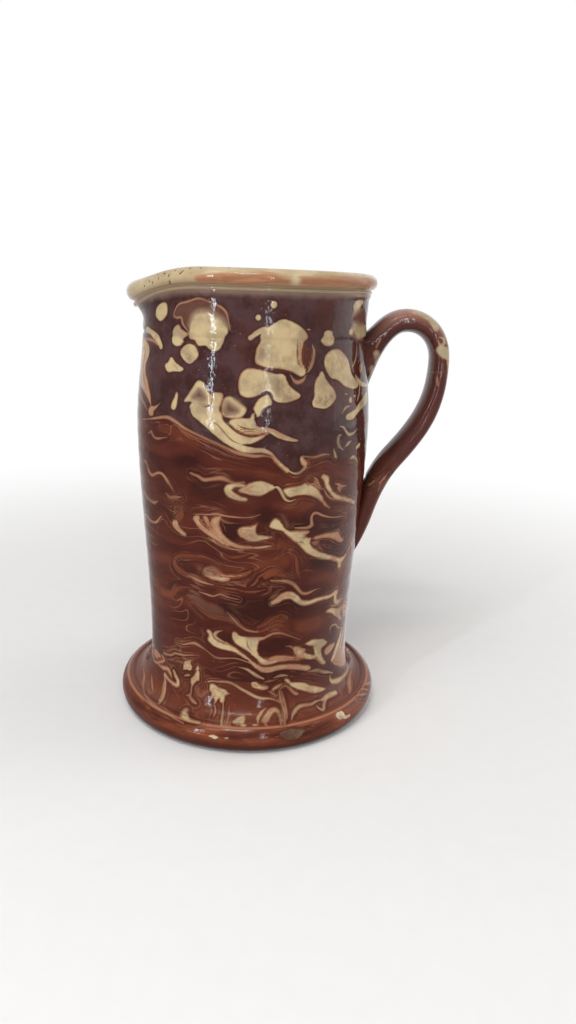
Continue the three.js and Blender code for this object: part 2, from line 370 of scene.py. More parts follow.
def pulledTree():  # draws a rounded strap along a line that carries its width and thickness
    inputs = {"Around": "Int", "Seed": "Float", "Glaze": "Material", "Roundness": "Float"}
    inputs.update({"Ridge Depth": "Float", "Ridges": "Float", "Wobble": "Float"})
    tree, graph, given = newTree("pull the strap", inputs)
    line = given["Geometry"]
    grid, column, row = gridOver(graph, line, given["Around"])
    angle = column / given["Around"] * math.tau

    def squared(wave):
        return graph.math("SIGN", wave) * abs(wave) ** (2 / given["Roundness"])

    middle = sampled(graph, line, "position", "FLOAT_VECTOR", row)
    inward = sampled(graph, line, "inward", "FLOAT_VECTOR", row)
    along = sampled(graph, line, "along", "FLOAT", row)
    ridge = 1 + given["Ridge Depth"] * graph.math("COSINE", angle * given["Ridges"])
    thick = sampled(graph, line, "thick", "FLOAT", row) * ridge * squared(graph.math("COSINE", angle))
    wide = sampled(graph, line, "wide", "FLOAT", row) * ridge * squared(graph.math("SINE", angle))
    reach = graph.add("ShaderNodeVectorMath", {"operation": "SCALE"}, {0: inward, "Scale": thick})
    spot = graph.vector("ADD", graph.vector("ADD", middle, reach), graph.joined(0.0, wide, 0.0))
    bend = graph.noise(spot, strapWobble, 1.0, seed=given["Seed"]).part("Color")
    bend = graph.vector("SUBTRACT", bend, (0.5, 0.5, 0.5))
    bend = graph.add("ShaderNodeVectorMath", {"operation": "SCALE"}, {0: bend, "Scale": given["Wobble"]})
    spot = graph.vector("ADD", spot, bend)
    clay = graph.add("GeometryNodeSetPosition", {}, {"Geometry": grid, "Position": spot})
    clay = kept(graph, clay, "along", along)
    clay = kept(graph, clay, "thickSide", thick / mm)
    clay = kept(graph, clay, "wideSide", wide / mm)
    finishTree(graph, clay, given["Glaze"])
    return tree


def lineMesh(points, fields):  # points in mm, with the values that a tree reads from them
    mesh = bpy.data.meshes.new("line")
    points = np.array(points, float) * mm
    mesh.from_pydata(points.tolist(), [(i, i + 1) for i in range(len(points) - 1)], [])
    for name, values in fields.items():
        values = np.array(values, np.float32)
        kind = "FLOAT_VECTOR" if values.ndim == 2 else "FLOAT"
        layer = mesh.attributes.new(name, kind, "POINT")
        layer.data.foreach_set("vector" if values.ndim == 2 else "value", values.ravel())
    return mesh


def shaped(name, tree, line, sizes):
    piece = bpy.data.objects.new(name, line)
    bpy.context.scene.collection.objects.link(piece)
    modifier = piece.modifiers.new("shape", "NODES")
    modifier.node_group = tree
    for item in tree.interface.items_tree:
        if item.in_out == "INPUT" and item.name in sizes:
            modifier[item.identifier] = sizes[item.name]
    seen = piece.evaluated_get(bpy.context.evaluated_depsgraph_get())
    mesh = bpy.data.meshes.new_from_object(seen)
    piece.modifiers.remove(modifier)
    piece.data = mesh
    mesh.name = name
    return piece


def corners(piece):
    spots = np.empty(len(piece.data.vertices) * 3, np.float32)
    piece.data.vertices.foreach_get("co", spots)
    return spots.reshape(-1, 3).astype(float) / mm


def heldField(piece, name):
    values = np.empty(len(piece.data.vertices), np.float32)
    piece.data.attributes[name].data.foreach_get("value", values)
    return values.astype(float)


def keepFields(piece, fields):
    for name, values in fields.items():
        layer = piece.data.attributes.new(name, "FLOAT", "POINT")
        layer.data.foreach_set("value", np.asarray(values, np.float32))


def moveTo(piece, spots):  # spots in mm
    piece.data.vertices.foreach_set("co", (spots * mm).astype(np.float32).ravel())
    piece.data.update()


def pressIn(piece, depth):  # moves the surface in along its normals by a depth in mm
    normals = np.empty(len(piece.data.vertices) * 3, np.float32)
    piece.data.vertices.foreach_get("normal", normals)
    moveTo(piece, corners(piece) - normals.reshape(-1, 3) * np.asarray(depth)[:, None])


def dress(piece, slot, *nodes):
    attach(piece, "root")
    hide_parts(*nodes)
    print(piece.name, "made,", len(piece.data.polygons), "faces")


# Slip marks in mm: trails of (across, up, half width) and closed outlines of (across, up), in these tones
slipTones = {"cream": 1.0, "pale": 0.78, "tan": 0.55, "rust": 0.2, "dark": -0.2}
thinnestBlob = 1.15  # a trail that stays under this half width is a line
lineTaper = 0.3  # share of a line's length over which each end thins
lineEnd = 0.45  # share of its width at the ends
lineSwell = 0.65  # what the share gains between them
slipReach = 12.0  # mm round a mark in which its fields are worked out
farAway = 99.0  # mm, more than any gap
leastHalf = 0.25  # mm, half width of the thinnest line
patchFade = 3.0  # mm over which a soft patch fades
pullReach = 5.0  # mm over which a trail bends the bands of the ground
pullCalm = 0.15  # keeps the bands level far from any trail
noSide = 9.0  # half widths, where no line is near


def rounded(points):  # a smooth curve from the second point to the last but one
    smooth = []
    for a, b, c, d in zip(points, points[1:], points[2:], points[3:]):
        for t in (0.0, 0.25, 0.5, 0.75):
            smooth.append(b + 0.5 * t * (c - a + t * (2 * a - 5 * b + 4 * c - d + t * (3 * (b - c) + d - a))))
    return smooth


def smoothTrail(trail):
    points = np.array(trail, float)
    if len(points) == 1:
        points = np.vstack([points, points + (0.01, 0.0, 0.0)])
    if len(points) == 2:
        return points
    ends = np.vstack([2 * points[0] - points[1], points, 2 * points[-1] - points[-2]])
    smooth = np.array(rounded(ends) + [points[-1]])
    smooth[:, 2] = np.maximum(smooth[:, 2], leastHalf)
    if smooth[:, 2].max() < thinnestBlob:
        way = np.linspace(0, 1, len(smooth))
        smooth[:, 2] *= lineEnd + lineSwell * ease(way / lineTaper) * ease((1 - way) / lineTaper)
    return smooth


def smoothLoop(outline):
    points = np.array(outline, float)
    return np.array(rounded(np.vstack([points[-1:], points, points[:2]])))


def closeTo(line, across, up):
    low = line[:, :2].min(0) - slipReach
    high = line[:, :2].max(0) + slipReach
    return np.nonzero((across > low[0]) & (across < high[0]) & (up > low[1]) & (up < high[1]))[0]


def offSegment(a, b, across, up):  # share of the way from a to b, and what is left across and up
    run = b[:2] - a[:2]
    share = ((across - a[0]) * run[0] + (up - a[1]) * run[1]) / max(run @ run, 1e-9)
    share = np.clip(share, 0, 1)
    return share, across - a[0] - share * run[0], up - a[1] - share * run[1]


def trailGap(line, across, up):  # gap to its edge, side in half widths, and its height there
    gap = np.full(len(across), farAway)
    side = np.zeros(len(across))
    level = np.zeros(len(across))
    for a, b in zip(line, line[1:]):
        share, awayA, awayU = offSegment(a, b, across, up)
        distance = np.hypot(awayA, awayU)
        half = a[2] + share * (b[2] - a[2])
        better = distance - half < gap
        turn = np.sign((b[0] - a[0]) * awayU - (b[1] - a[1]) * awayA)
        gap = np.where(better, distance - half, gap)
        side = np.where(better, turn * distance / half, side)
        level = np.where(better, a[1] + share * (b[1] - a[1]), level)
    return gap, side, level


def loopDepth(loop, across, up):  # mm inside a closed outline, negative outside
    gap = np.full(len(across), farAway)
    inside = np.zeros(len(across), bool)
    for a, b in zip(loop, np.roll(loop, -1, 0)):
        away = offSegment(a, b, across, up)[1:]
        gap = np.minimum(gap, np.hypot(*away))
        crossed = (a[1] > up) != (b[1] > up)
        slope = (b[0] - a[0]) / (b[1] - a[1]) if a[1] != b[1] else 0.0
        inside ^= crossed & (across < a[0] + (up - a[1]) * slope)
    return np.where(inside, gap, -gap)


def drawLoops(across, up, loops):
    depth = np.full(len(across), -slipReach)
    for outline in loops:
        loop = smoothLoop(outline)
        near = closeTo(loop, across, up)
        depth[near] = np.maximum(depth[near], loopDepth(loop, across[near], up[near]))
    return depth


def drawPatches(across, up, trails):  # 1 on soft patches, falling to 0 round them
    patch = np.zeros(len(across))
    for trail in trails:
        line = smoothTrail(trail)
        near = closeTo(line, across, up)
        gap = trailGap(line, across[near], up[near])[0]
        patch[near] = np.maximum(patch[near], 1 - ease((gap + 0.5 * patchFade) / (1.5 * patchFade)))
    return patch


def drawSlip(across, up, trails, blobs=None):
    count = len(across)
    fields = {"blob": np.full(count, -slipReach), "blobTone": np.ones(count), "side": np.full(count, noSide)}
    fields.update({"gate": np.full(count, slipReach), "lineTone": np.ones(count)})
    pull = np.zeros(count)
    weight = np.full(count, pullCalm)
    for tone, outlines in (blobs or {}).items():
        depth = drawLoops(across, up, outlines)
        nearer = depth > fields["blob"]
        fields["blob"][nearer] = depth[nearer]
        fields["blobTone"][nearer] = slipTones[tone]
    for tone, lines in trails.items():
        for line in map(smoothTrail, lines):
            near = closeTo(line, across, up)
            gap, side, level = trailGap(line, across[near], up[near])
            if tone == "dark" or line[:, 2].max() < thinnestBlob:
                nearer = gap < fields["gate"][near]
                chosen = near[nearer]
                fields["gate"][chosen] = gap[nearer]
                fields["side"][chosen] = side[nearer]
                fields["lineTone"][chosen] = slipTones[tone]
            else:
                old = fields["blob"][near]
                fields["blobTone"][near[-gap > old]] = slipTones[tone]
                fields["blob"][near] = np.maximum(old, -gap)
            hold = np.exp(-(np.maximum(gap, 0) / pullReach) ** 2)
            pull[near] += hold * (line[:, 1].mean() - level)
            weight[near] += hold
    fields["flow"] = pull / weight
    return fields


def unroll(spots):  # across, and the share of the way round the back, where the front's marks come again
    across = np.arctan2(spots[:, 0], -spots[:, 1]) * unrolled
    share = np.clip(np.abs(across) / quarter - 1, 0, 1)
    hidden = quarter * share + backCrowding * np.sin(np.pi * share)
    return np.where(share > 0, np.sign(across) * (quarter - hidden), across), share


# Wall
wall = {
    "thickness": 6.0,
    "stations": [(38.0, 59.2), (168.0, 65.3), (226.0, 61.1), (240.0, 61.8)],  # height, radius
    "cove": 8.0,
    "coveRows": 7,
    "rowStep": 0.8,
    "insideRows": 40,
    "buriedRow": 24.0,  # height of the one row behind the foot
    "overlap": 4.0,  # how far the fine rows go on behind the foot
    "noMarks": -100.0,  # height given to the inside, so that no mark falls there
    "columns": 300,
    "frontPacking": 0.4,  # how much closer the columns stand at the front
    "seed": 3.0,
    "scoreHeight": 217.0,
    "scoreWidth": 1.0,
    "scoreDepth": 0.55,
    "backRise": 22.0,  # of the marks behind the handle, and their fall behind the lip
    "backFall": 18.0,
    "backStep": 27.0,  # how much lower the marks lie just behind the lip
    "backStepRun": 0.11,  # share of the way round the back over which they step down
    "skewFade": 40.0,
    "collarHeight": 239.0,
    "collarHalf": 1.6,
    "collarSize": 0.7,
    "throwingRipple": 0.05,
    "insideRipple": 0.4,
    "ripplePitch": 10.5,
    "rippleFade": 20.0,
    "rippleWander": (2.0, 31.0),  # how far its pitch strays, and over what height
    "insideWander": (3.0, 43.0),
    "wobble": 0.12,
    "slipRelief": 0.1,
    "zoneEdge": [(-90, 170), (-70, 172), (-46, 176.8), (-30, 171.2), (-20, 167.8), (-8, 163), (0, 161.4),
                 (8, 162), (13, 157), (18, 152.8), (22, 152), (25, 155), (27, 160), (40, 160.5), (60, 155),
                 (90, 158)],
}
lip = {
    "Lip Reach": 2.6 * mm,
    "Lip Drop": 8.6 * mm,
    "Lip Start": 218 * mm,
    "Lip Depth": 22 * mm,
    "Lip Half Angle": math.radians(64),
    "Beak Half Angle": math.radians(40),
    "Swell": 0.0,
    "Swell Radius": 0.0,
    "Swell Height": 0.0,
}
noLip = {**lip, "Lip Reach": 0.0, "Lip Drop": 0.0}
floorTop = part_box("floor_slab")[1].z / mm
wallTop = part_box("body_wall")[1].z / mm

wallBlobs = {  # closed outlines of (across, up)
    "cream": [
        # cap at the upper left, with the round ones under it
        [(-34.5, 217), (-33.5, 223), (-32, 226.5), (-29, 228.6), (-25, 229), (-21, 227.8), (-17, 226),
         (-14.5, 223), (-13.4, 220.3), (-15.2, 218), (-16, 214.5), (-18.6, 211.3), (-22, 211.6),
         (-25, 213.6), (-28.5, 213.2), (-31, 215.6)],
        [(-45.5, 215), (-45.3, 218.5), (-43.8, 221.3), (-41, 222.7), (-39.3, 220.6), (-35.2, 218.5),
         (-38.4, 216), (-37.6, 214.5), (-39.5, 212.8), (-42.5, 212.3), (-44.8, 213.6)],
        [(-39.3, 209.5), (-37.5, 212), (-34.5, 213.6), (-31.2, 213.2), (-29, 210.5), (-28.6, 208.3),
         (-30.2, 206.2), (-32.5, 204.6), (-35, 204.8), (-37.7, 206.8)],
        [(-49.8, 202.5), (-47.4, 204.2), (-46.2, 206.4), (-44.5, 206.2), (-42.5, 204.3), (-39, 202.8),
         (-36.8, 201.5), (-39, 200.2), (-43, 199.9), (-46.5, 199.2), (-48.5, 200.4)],
        [(-43.2, 182.5), (-41.6, 187), (-40.3, 189.9), (-39.2, 189.2), (-39.4, 185.5), (-40.2, 182),
         (-41.6, 181)],
        # big blob at the middle, and the double lobe under it
        [(0.5, 206.5), (0.3, 210), (1, 213.5), (2.7, 216.4), (2.6, 219.4), (5, 222.5), (9, 225),
         (12.5, 226.8), (16, 226.6), (20, 225), (23.5, 223), (25.6, 220.8), (26.6, 218.4), (24.6, 216.4),
         (23.2, 212), (23.4, 207), (25.3, 203.6), (25, 201.2), (23, 200.2), (20.5, 201.2), (17, 202.9),
         (12, 203.9), (6, 204.2), (3, 205)],
        [(-7.5, 196), (-7, 200), (-5, 202.8), (-2, 203.8), (2, 203.4), (5.5, 202.6), (8, 201.6),
         (11, 201.2), (13.5, 201.3), (15, 200.2), (15.5, 198.3), (17, 195.8), (19.5, 193.5), (22.4, 191.4),
         (21.8, 189.9), (19, 188.8), (15, 187.7), (11.5, 188), (9.5, 189.5), (8.3, 192), (6.3, 193.3),
         (4, 192.7), (1.5, 191), (-1, 190), (-3.5, 189.8), (-6.5, 191.5)],
        [(0.2, 184.8), (1, 187.5), (3, 190), (6, 190.8), (8, 189), (8.2, 186.8), (5.5, 186.2), (4, 185),
         (3, 182), (2, 180.6), (1, 182.6)],
        # drops at the right
        [(36, 219.3), (36.3, 221.3), (38.5, 222), (41.3, 221.5), (42, 219.4), (43.4, 217.8), (42.8, 215.8),
         (40, 214.7), (36.8, 215), (34.9, 216.7), (35, 218.3)],
        [(36.3, 206.5), (37, 209.5), (39.5, 211.8), (43, 212.9), (46.5, 212.7), (50, 210.8), (53.5, 207.8),
         (55.5, 204.5), (56.8, 200.5), (59, 198.2), (61.5, 196), (63.7, 193.8), (61, 192.6), (57.5, 192.5),
         (53, 193.5), (49.5, 195), (46.5, 197.2), (43.5, 198.4), (40.5, 199.2), (38.3, 201.5), (37, 204)],
        [(34.5, 202.5), (32.8, 200.3), (31, 198.2), (30.3, 195), (30, 190), (29, 187.5), (29.8, 185.3),
         (33, 184.6), (37, 184.4), (40.5, 186), (43.3, 188.7), (43.4, 190.5), (42, 193.5), (39.5, 195.8),
         (37.2, 198.5), (35.7, 201.4)],
        [(57.5, 234), (60, 236.4), (65, 237), (69, 236.4), (66.5, 233.5), (63, 231.5), (60.5, 230.5),
         (58.5, 232)],
        [(60, 224.6), (63, 225), (68, 223.5), (76, 224), (84, 223), (84, 218.5), (76, 218), (68, 217.6),
         (63, 219), (60.6, 222)],
        [(55.1, 220.2), (55.4, 222), (57.8, 222.6), (59.6, 221.2), (58, 219.6)],
        # left edge
        [(-57, 224.5), (-59.8, 227), (-59.5, 230), (-57.5, 233), (-54, 234.5), (-50, 234.3), (-48.8, 232),
         (-49.5, 228.5), (-51.5, 226), (-54.5, 224.3)],
        [(-72, 220), (-65, 219), (-58, 216.6), (-54.8, 214.2), (-52.8, 211), (-54.6, 209.8), (-57, 212),
         (-61, 214.2), (-68, 216.5), (-75, 217)],
        # folded cluster with its crest, the lobe behind it, the hollow lens and the roof
        [(-31.8, 184), (-30.5, 185.4), (-27, 185.4), (-24, 184.6), (-20.4, 185.6), (-20, 190.8),
         (-18, 191.5), (-15.3, 191.3), (-14.8, 189.6), (-15.6, 186.6), (-16.4, 183.6), (-15.2, 181),
         (-14.4, 178.8), (-12, 176.4), (-9, 173.8), (-6, 172), (-3, 171), (0, 170.8), (4, 171.8),
         (7, 172.9), (4.8, 171), (2.8, 169.4), (0, 168), (-3, 167.4), (-6, 167.2), (-2.5, 165.8),
         (1, 165.4), (4.6, 165.2), (8, 163.8), (10.4, 161.4), (12.4, 159), (15, 156.6), (17.6, 154),
         (16.4, 153.3), (13.4, 155.9), (10.8, 158.9), (8.4, 161.9), (4, 163.2), (0, 162.9), (-5, 163.2),
         (-8, 164.4), (-11, 166), (-14, 167.8), (-17, 170), (-20, 172.4), (-23, 174.8), (-26.5, 177.2),
         (-29.8, 179.6), (-31, 182)],
        [(-11.5, 177.8), (-10.5, 178.8), (-8, 179.6), (-4, 179.8), (-1.5, 180.2), (-0.8, 182), (0, 182.2),
         (0.2, 180), (0.6, 177.5), (2, 175.9), (5, 175.7), (8, 175.2), (10.5, 174), (13, 172.6),
         (16, 171.2), (19, 169.9), (21.8, 168.8), (18, 168.8), (14.5, 169.6), (11, 171), (9, 172.4),
         (7, 173.2), (4, 172.6), (0, 171.8), (-3, 172.1), (-6, 173.1), (-8.5, 174.7), (-10.5, 176.4)],
        [(-14.9, 184), (-14.7, 187), (-13.5, 189.4), (-11.5, 190), (-9.8, 189.2), (-7, 187), (-4, 185.2),
         (-3.3, 183.8), (-4.3, 181.8), (-6, 180.4), (-9, 179.9), (-13, 180), (-14.8, 181.6)],
        [(-35.2, 185.8), (-33, 189), (-31, 192), (-29.5, 194.8), (-27.5, 196.4), (-25.5, 196), (-24, 194),
         (-22, 191.4), (-20.4, 189), (-20.2, 186), (-23, 185), (-27, 185.5), (-30, 185.6), (-32, 186.4)],
        [(-0.3, 184.6), (1, 186.6), (3, 189), (5, 190.9), (6.8, 191.3), (7.6, 189.5), (8.3, 186.7),
         (6.5, 186.1), (4.5, 185), (3, 182.8), (2, 181), (1.6, 183), (1, 184.3)],
        # comma, fan, curl and long stroke inside the wave
        [(-6.6, 121.5), (-5.6, 123.4), (-3, 124.2), (0, 124.6), (2, 125.6), (3, 126.2), (2.2, 123.5),
         (2, 121.5), (3, 119.8), (6, 119), (10.5, 118.7), (5, 117.2), (2, 116.6), (-1, 117), (-3.6, 118.4),
         (-5.8, 119.6)],
        [(-30, 125.2), (-29.6, 127), (-27.8, 127.8), (-27, 127), (-27.3, 125.4), (-25.5, 123.2),
         (-23, 121.2), (-20, 119.4), (-17, 117.4), (-14, 115.4), (-11, 113.8), (-14, 114.2), (-17.5, 115.8),
         (-21, 117.8), (-24.5, 119.8), (-27.5, 122.4)],
        [(-20.2, 126.4), (-19.2, 127.6), (-17, 128.4), (-15.6, 128.6), (-16.3, 127), (-16.6, 124.6),
         (-16, 122), (-14.5, 119.5), (-12, 117), (-9, 114.9), (-5.5, 113.6), (0, 113), (-4, 112.4),
         (-8, 113), (-11.5, 114.4), (-14.5, 116.4), (-17.5, 119.3), (-19.4, 122), (-20.2, 124.5)],
        [(-44, 120.5), (-43, 122.3), (-41, 122.6), (-40.5, 121), (-39.5, 119), (-37.5, 117.5),
         (-35.6, 116.6), (-36.5, 115.8), (-39.5, 116.8), (-42.5, 118.5)],
        [(9.3, 124.5), (10.2, 127), (11.5, 128.5), (13.5, 127.8), (15, 125.6), (17, 122.5), (19.5, 120.8),
         (22, 120.9), (26, 120.5), (30, 120.1), (30, 119.2), (26.5, 118.6), (29, 117.5), (26.5, 116.8),
         (30.5, 116.4), (32, 115.8), (31.5, 114.5), (31.8, 112.5), (33.5, 110.3), (36.5, 108.2),
         (40, 106.2), (45, 104), (50, 102), (55, 100), (58, 99.2), (62, 100.2), (66, 101.8), (61, 97.6),
         (58.5, 96.2), (58.5, 94.2), (57.5, 93.2), (55.5, 94.6), (55.2, 96.6), (54, 98), (50, 99.8),
         (45, 101.8), (40, 103.4), (36, 105), (32.5, 107), (29.5, 109), (27, 111.6), (24.8, 114.2),
         (22, 116), (19.5, 118.2), (17.5, 120.6), (15.5, 122.4), (12.5, 123.2)],
        # waves at mid height
        [(-6, 143.5), (-3, 145.8), (0, 147.5), (4, 148.2), (8, 146.8), (10.4, 145.3), (8.5, 144),
         (6, 142.2), (3, 141.3), (0, 141.7), (-4, 142.6)],
        [(15.5, 144.2), (19, 145), (24, 145.5), (26.6, 146.6), (28, 145.4), (30.5, 144.8), (33.5, 142.5),
         (35.5, 140), (37.5, 137), (40, 134), (42.8, 131.2), (40, 132.6), (37.5, 135), (34.5, 137.8),
         (31, 139.8), (26, 140.6), (22, 140.6), (18.5, 140), (16.5, 141.8)],
        # folds low down
        [(-9.5, 62.6), (-8.6, 64), (-7.5, 63.4), (-5.5, 61.6), (-2, 61), (2, 60.9), (5, 60.8), (8.8, 60.8),
         (5.8, 59.4), (4.8, 57), (4.6, 54), (5, 51.4), (6.5, 49.6), (8.6, 48), (11, 46.9), (14, 46.5),
         (18, 46.4), (14, 45.3), (10.5, 44.6), (8, 45.2), (5.5, 47), (3.5, 49), (1.5, 51.2), (-0.5, 52.8),
         (-3, 54.6), (-5.5, 56), (-7.8, 57.6), (-9, 60)],
        [(-24.2, 62.8), (-22.6, 63.4), (-21.4, 61.2), (-20.6, 59), (-18.6, 57.7), (-15, 56.6), (-11, 55.7),
         (-8, 54.4), (-5, 52.4), (-2, 50.4), (1, 48), (4, 44.8), (7, 42.5), (10, 41.2), (14, 40.6),
         (11, 40.1), (7.5, 41), (4, 43.2), (1, 46), (-2, 48.4), (-5.5, 50.8), (-9, 52.4), (-13, 53),
         (-17.5, 53.6), (-21, 55.2), (-23.6, 57.6), (-22.8, 60)],
        [(26.5, 52.8), (29, 52.2), (32, 51), (34, 50), (33, 48.6), (34, 47.6), (37, 46.2), (40, 44.6),
         (42.5, 43), (38, 43.6), (34, 44.8), (30.5, 46), (28.2, 48), (26.8, 50.6)],
        [(34, 53.4), (36.5, 54.2), (38, 54.4), (42, 53.8), (46, 52.8), (49.5, 51), (52, 49.3), (49, 48.3),
         (46.8, 47.4), (46.6, 45), (47.6, 42), (50, 39), (52, 36.5), (49, 36.5), (45.5, 40), (43.5, 43),
         (41.8, 45.6), (41, 48), (40.4, 50), (42.5, 50.2), (40, 51), (37, 52)],
        [(49, 69.5), (52.5, 70), (55.5, 69), (59, 67.6), (62.5, 66.8), (66, 67), (69, 68.5), (71, 67.5),
         (68, 65.5), (65, 63.5), (65.5, 61), (68, 58.5), (66.5, 58), (63.5, 60.5), (60, 62.8), (57, 65),
         (53.5, 67.3), (50.5, 68.5)],
        [(-40.5, 36), (-40, 39.5), (-37.5, 41), (-35.2, 42.2), (-36, 40), (-34.8, 38), (-36, 36)],
    ],
    "pale": [
        [(-86, 207), (-78, 213), (-70, 212), (-66.5, 209), (-67.5, 205), (-70, 201), (-70, 197), (-66, 193),
         (-63, 189), (-60.5, 184.5), (-60, 181), (-64, 184), (-70, 187), (-78, 190), (-81, 198)],
        [(-50.2, 184.8), (-52.5, 182.6), (-56, 181), (-60, 180.4), (-62.4, 178), (-61, 175.6),
         (-57.5, 176.2), (-57, 178.4), (-54, 180.6), (-51.6, 183)],
        [(33.5, 115.8), (37, 116.8), (42, 116.8), (47, 116.3), (51, 116.2), (52.5, 115), (54, 113),
         (56, 111), (58, 109.8), (55, 109.6), (51.5, 111.2), (48, 113), (44, 114.6), (39, 115.2),
         (35.5, 115)],
        [(50.5, 43.5), (51, 45.5), (54, 46.3), (58, 46.2), (61, 45), (58, 43), (55, 41.5), (52, 41.2)],
        [(5, 44.8), (8, 43), (12, 42.8), (17, 43.3), (22, 43.1), (27, 42.1), (32, 40.7), (38, 38.8),
         (38, 36.4), (32, 38.2), (27, 39.8), (22, 40.8), (17, 40.9), (12, 40.4), (8, 41.2)],
    ],
    "tan": [
        [(9, 49), (11, 48.6), (16, 49.4), (21, 48.8), (26, 47.6), (31, 46.4), (37, 44.6), (31, 44.4),
         (26, 45.2), (21, 45.6), (16, 46), (12, 46.6)],
        # partly slip and partly painted sheen: a broad patch low on the right
        [(66, 66), (70, 69), (76, 66), (84, 62), (94, 60), (94, 52), (82, 54), (73, 58), (68, 61)],
        [(66, 203), (68, 205.2), (71, 204.5), (70.5, 201), (68, 199.5), (66, 201)],
        [(23.2, 160.8), (23.4, 157), (25, 155.5), (27.5, 157), (25.5, 159.5)],
    ],
}

wallFilms = [  # thin slip that the ground shows through
    [(-45, 226.8), (-43.3, 230), (-40.5, 232.8), (-35, 233.8), (-28.5, 235.3), (-23, 234), (-17.5, 232),
     (-14.5, 229.5), (-13.3, 225.5), (-13.4, 221.5), (-33, 220), (-38.5, 223), (-39.5, 226.2),
     (-42.5, 226)],
    [(-34.4, 186.2), (-31, 191.5), (-29.3, 194.2), (-27, 196), (-24.8, 194.6), (-22.5, 193), (-20.8, 190.6),
     (-20.6, 187.5), (-22, 185), (-26, 185.4), (-30, 186.5)],
    [(-15, 186), (-13, 189.5), (-10, 190), (-6.6, 188), (-3.6, 184.6), (-5.8, 180.8), (-9, 180.2),
     (-13.4, 181.4)],
    [(-3, 121), (0.5, 121.6), (3, 119.6), (6, 118.6), (2, 116.8), (-1.6, 117.6)],
    [(56.6, 221), (57, 226), (57.4, 231), (62, 234), (67, 233), (76, 230), (76, 218), (66, 215.6),
     (59, 217)],
    [(-29.5, 98.8), (-26, 99.6), (-22, 100.3), (-19, 100.4), (-16, 98.8), (-13.5, 96.8), (-11, 95),
     (-11.3, 93.8), (-14, 93.4), (-19, 94), (-24, 95.2), (-27.5, 97)],
    [(-37.5, 81), (-35.5, 83), (-32, 83.5), (-28.5, 83.3), (-25.5, 81), (-22, 79.8), (-17, 78.2), (-13, 75),
     (-9.5, 72), (-7, 69.3), (-11, 69.8), (-16, 70.8), (-20, 70.8), (-26, 73), (-31, 76), (-35, 79)],
]

wallHoles = [  # where the ground shows inside a drop
    [(-14.3, 184.5), (-13.4, 187.6), (-11.8, 188.2), (-9.6, 186.6), (-7.2, 184.6), (-6.6, 183),
     (-8.4, 181.5), (-11.5, 180.9), (-13.8, 182)],
    [(-31.5, 187.6), (-30, 190.6), (-28, 193), (-26, 192.8), (-23.8, 190.6), (-22.8, 188), (-24.5, 187),
     (-28, 187)],
    [(-2, 120.4), (0, 120.6), (1.6, 119.4), (2.6, 118.4), (0.6, 118), (-1.4, 118.8)],
]

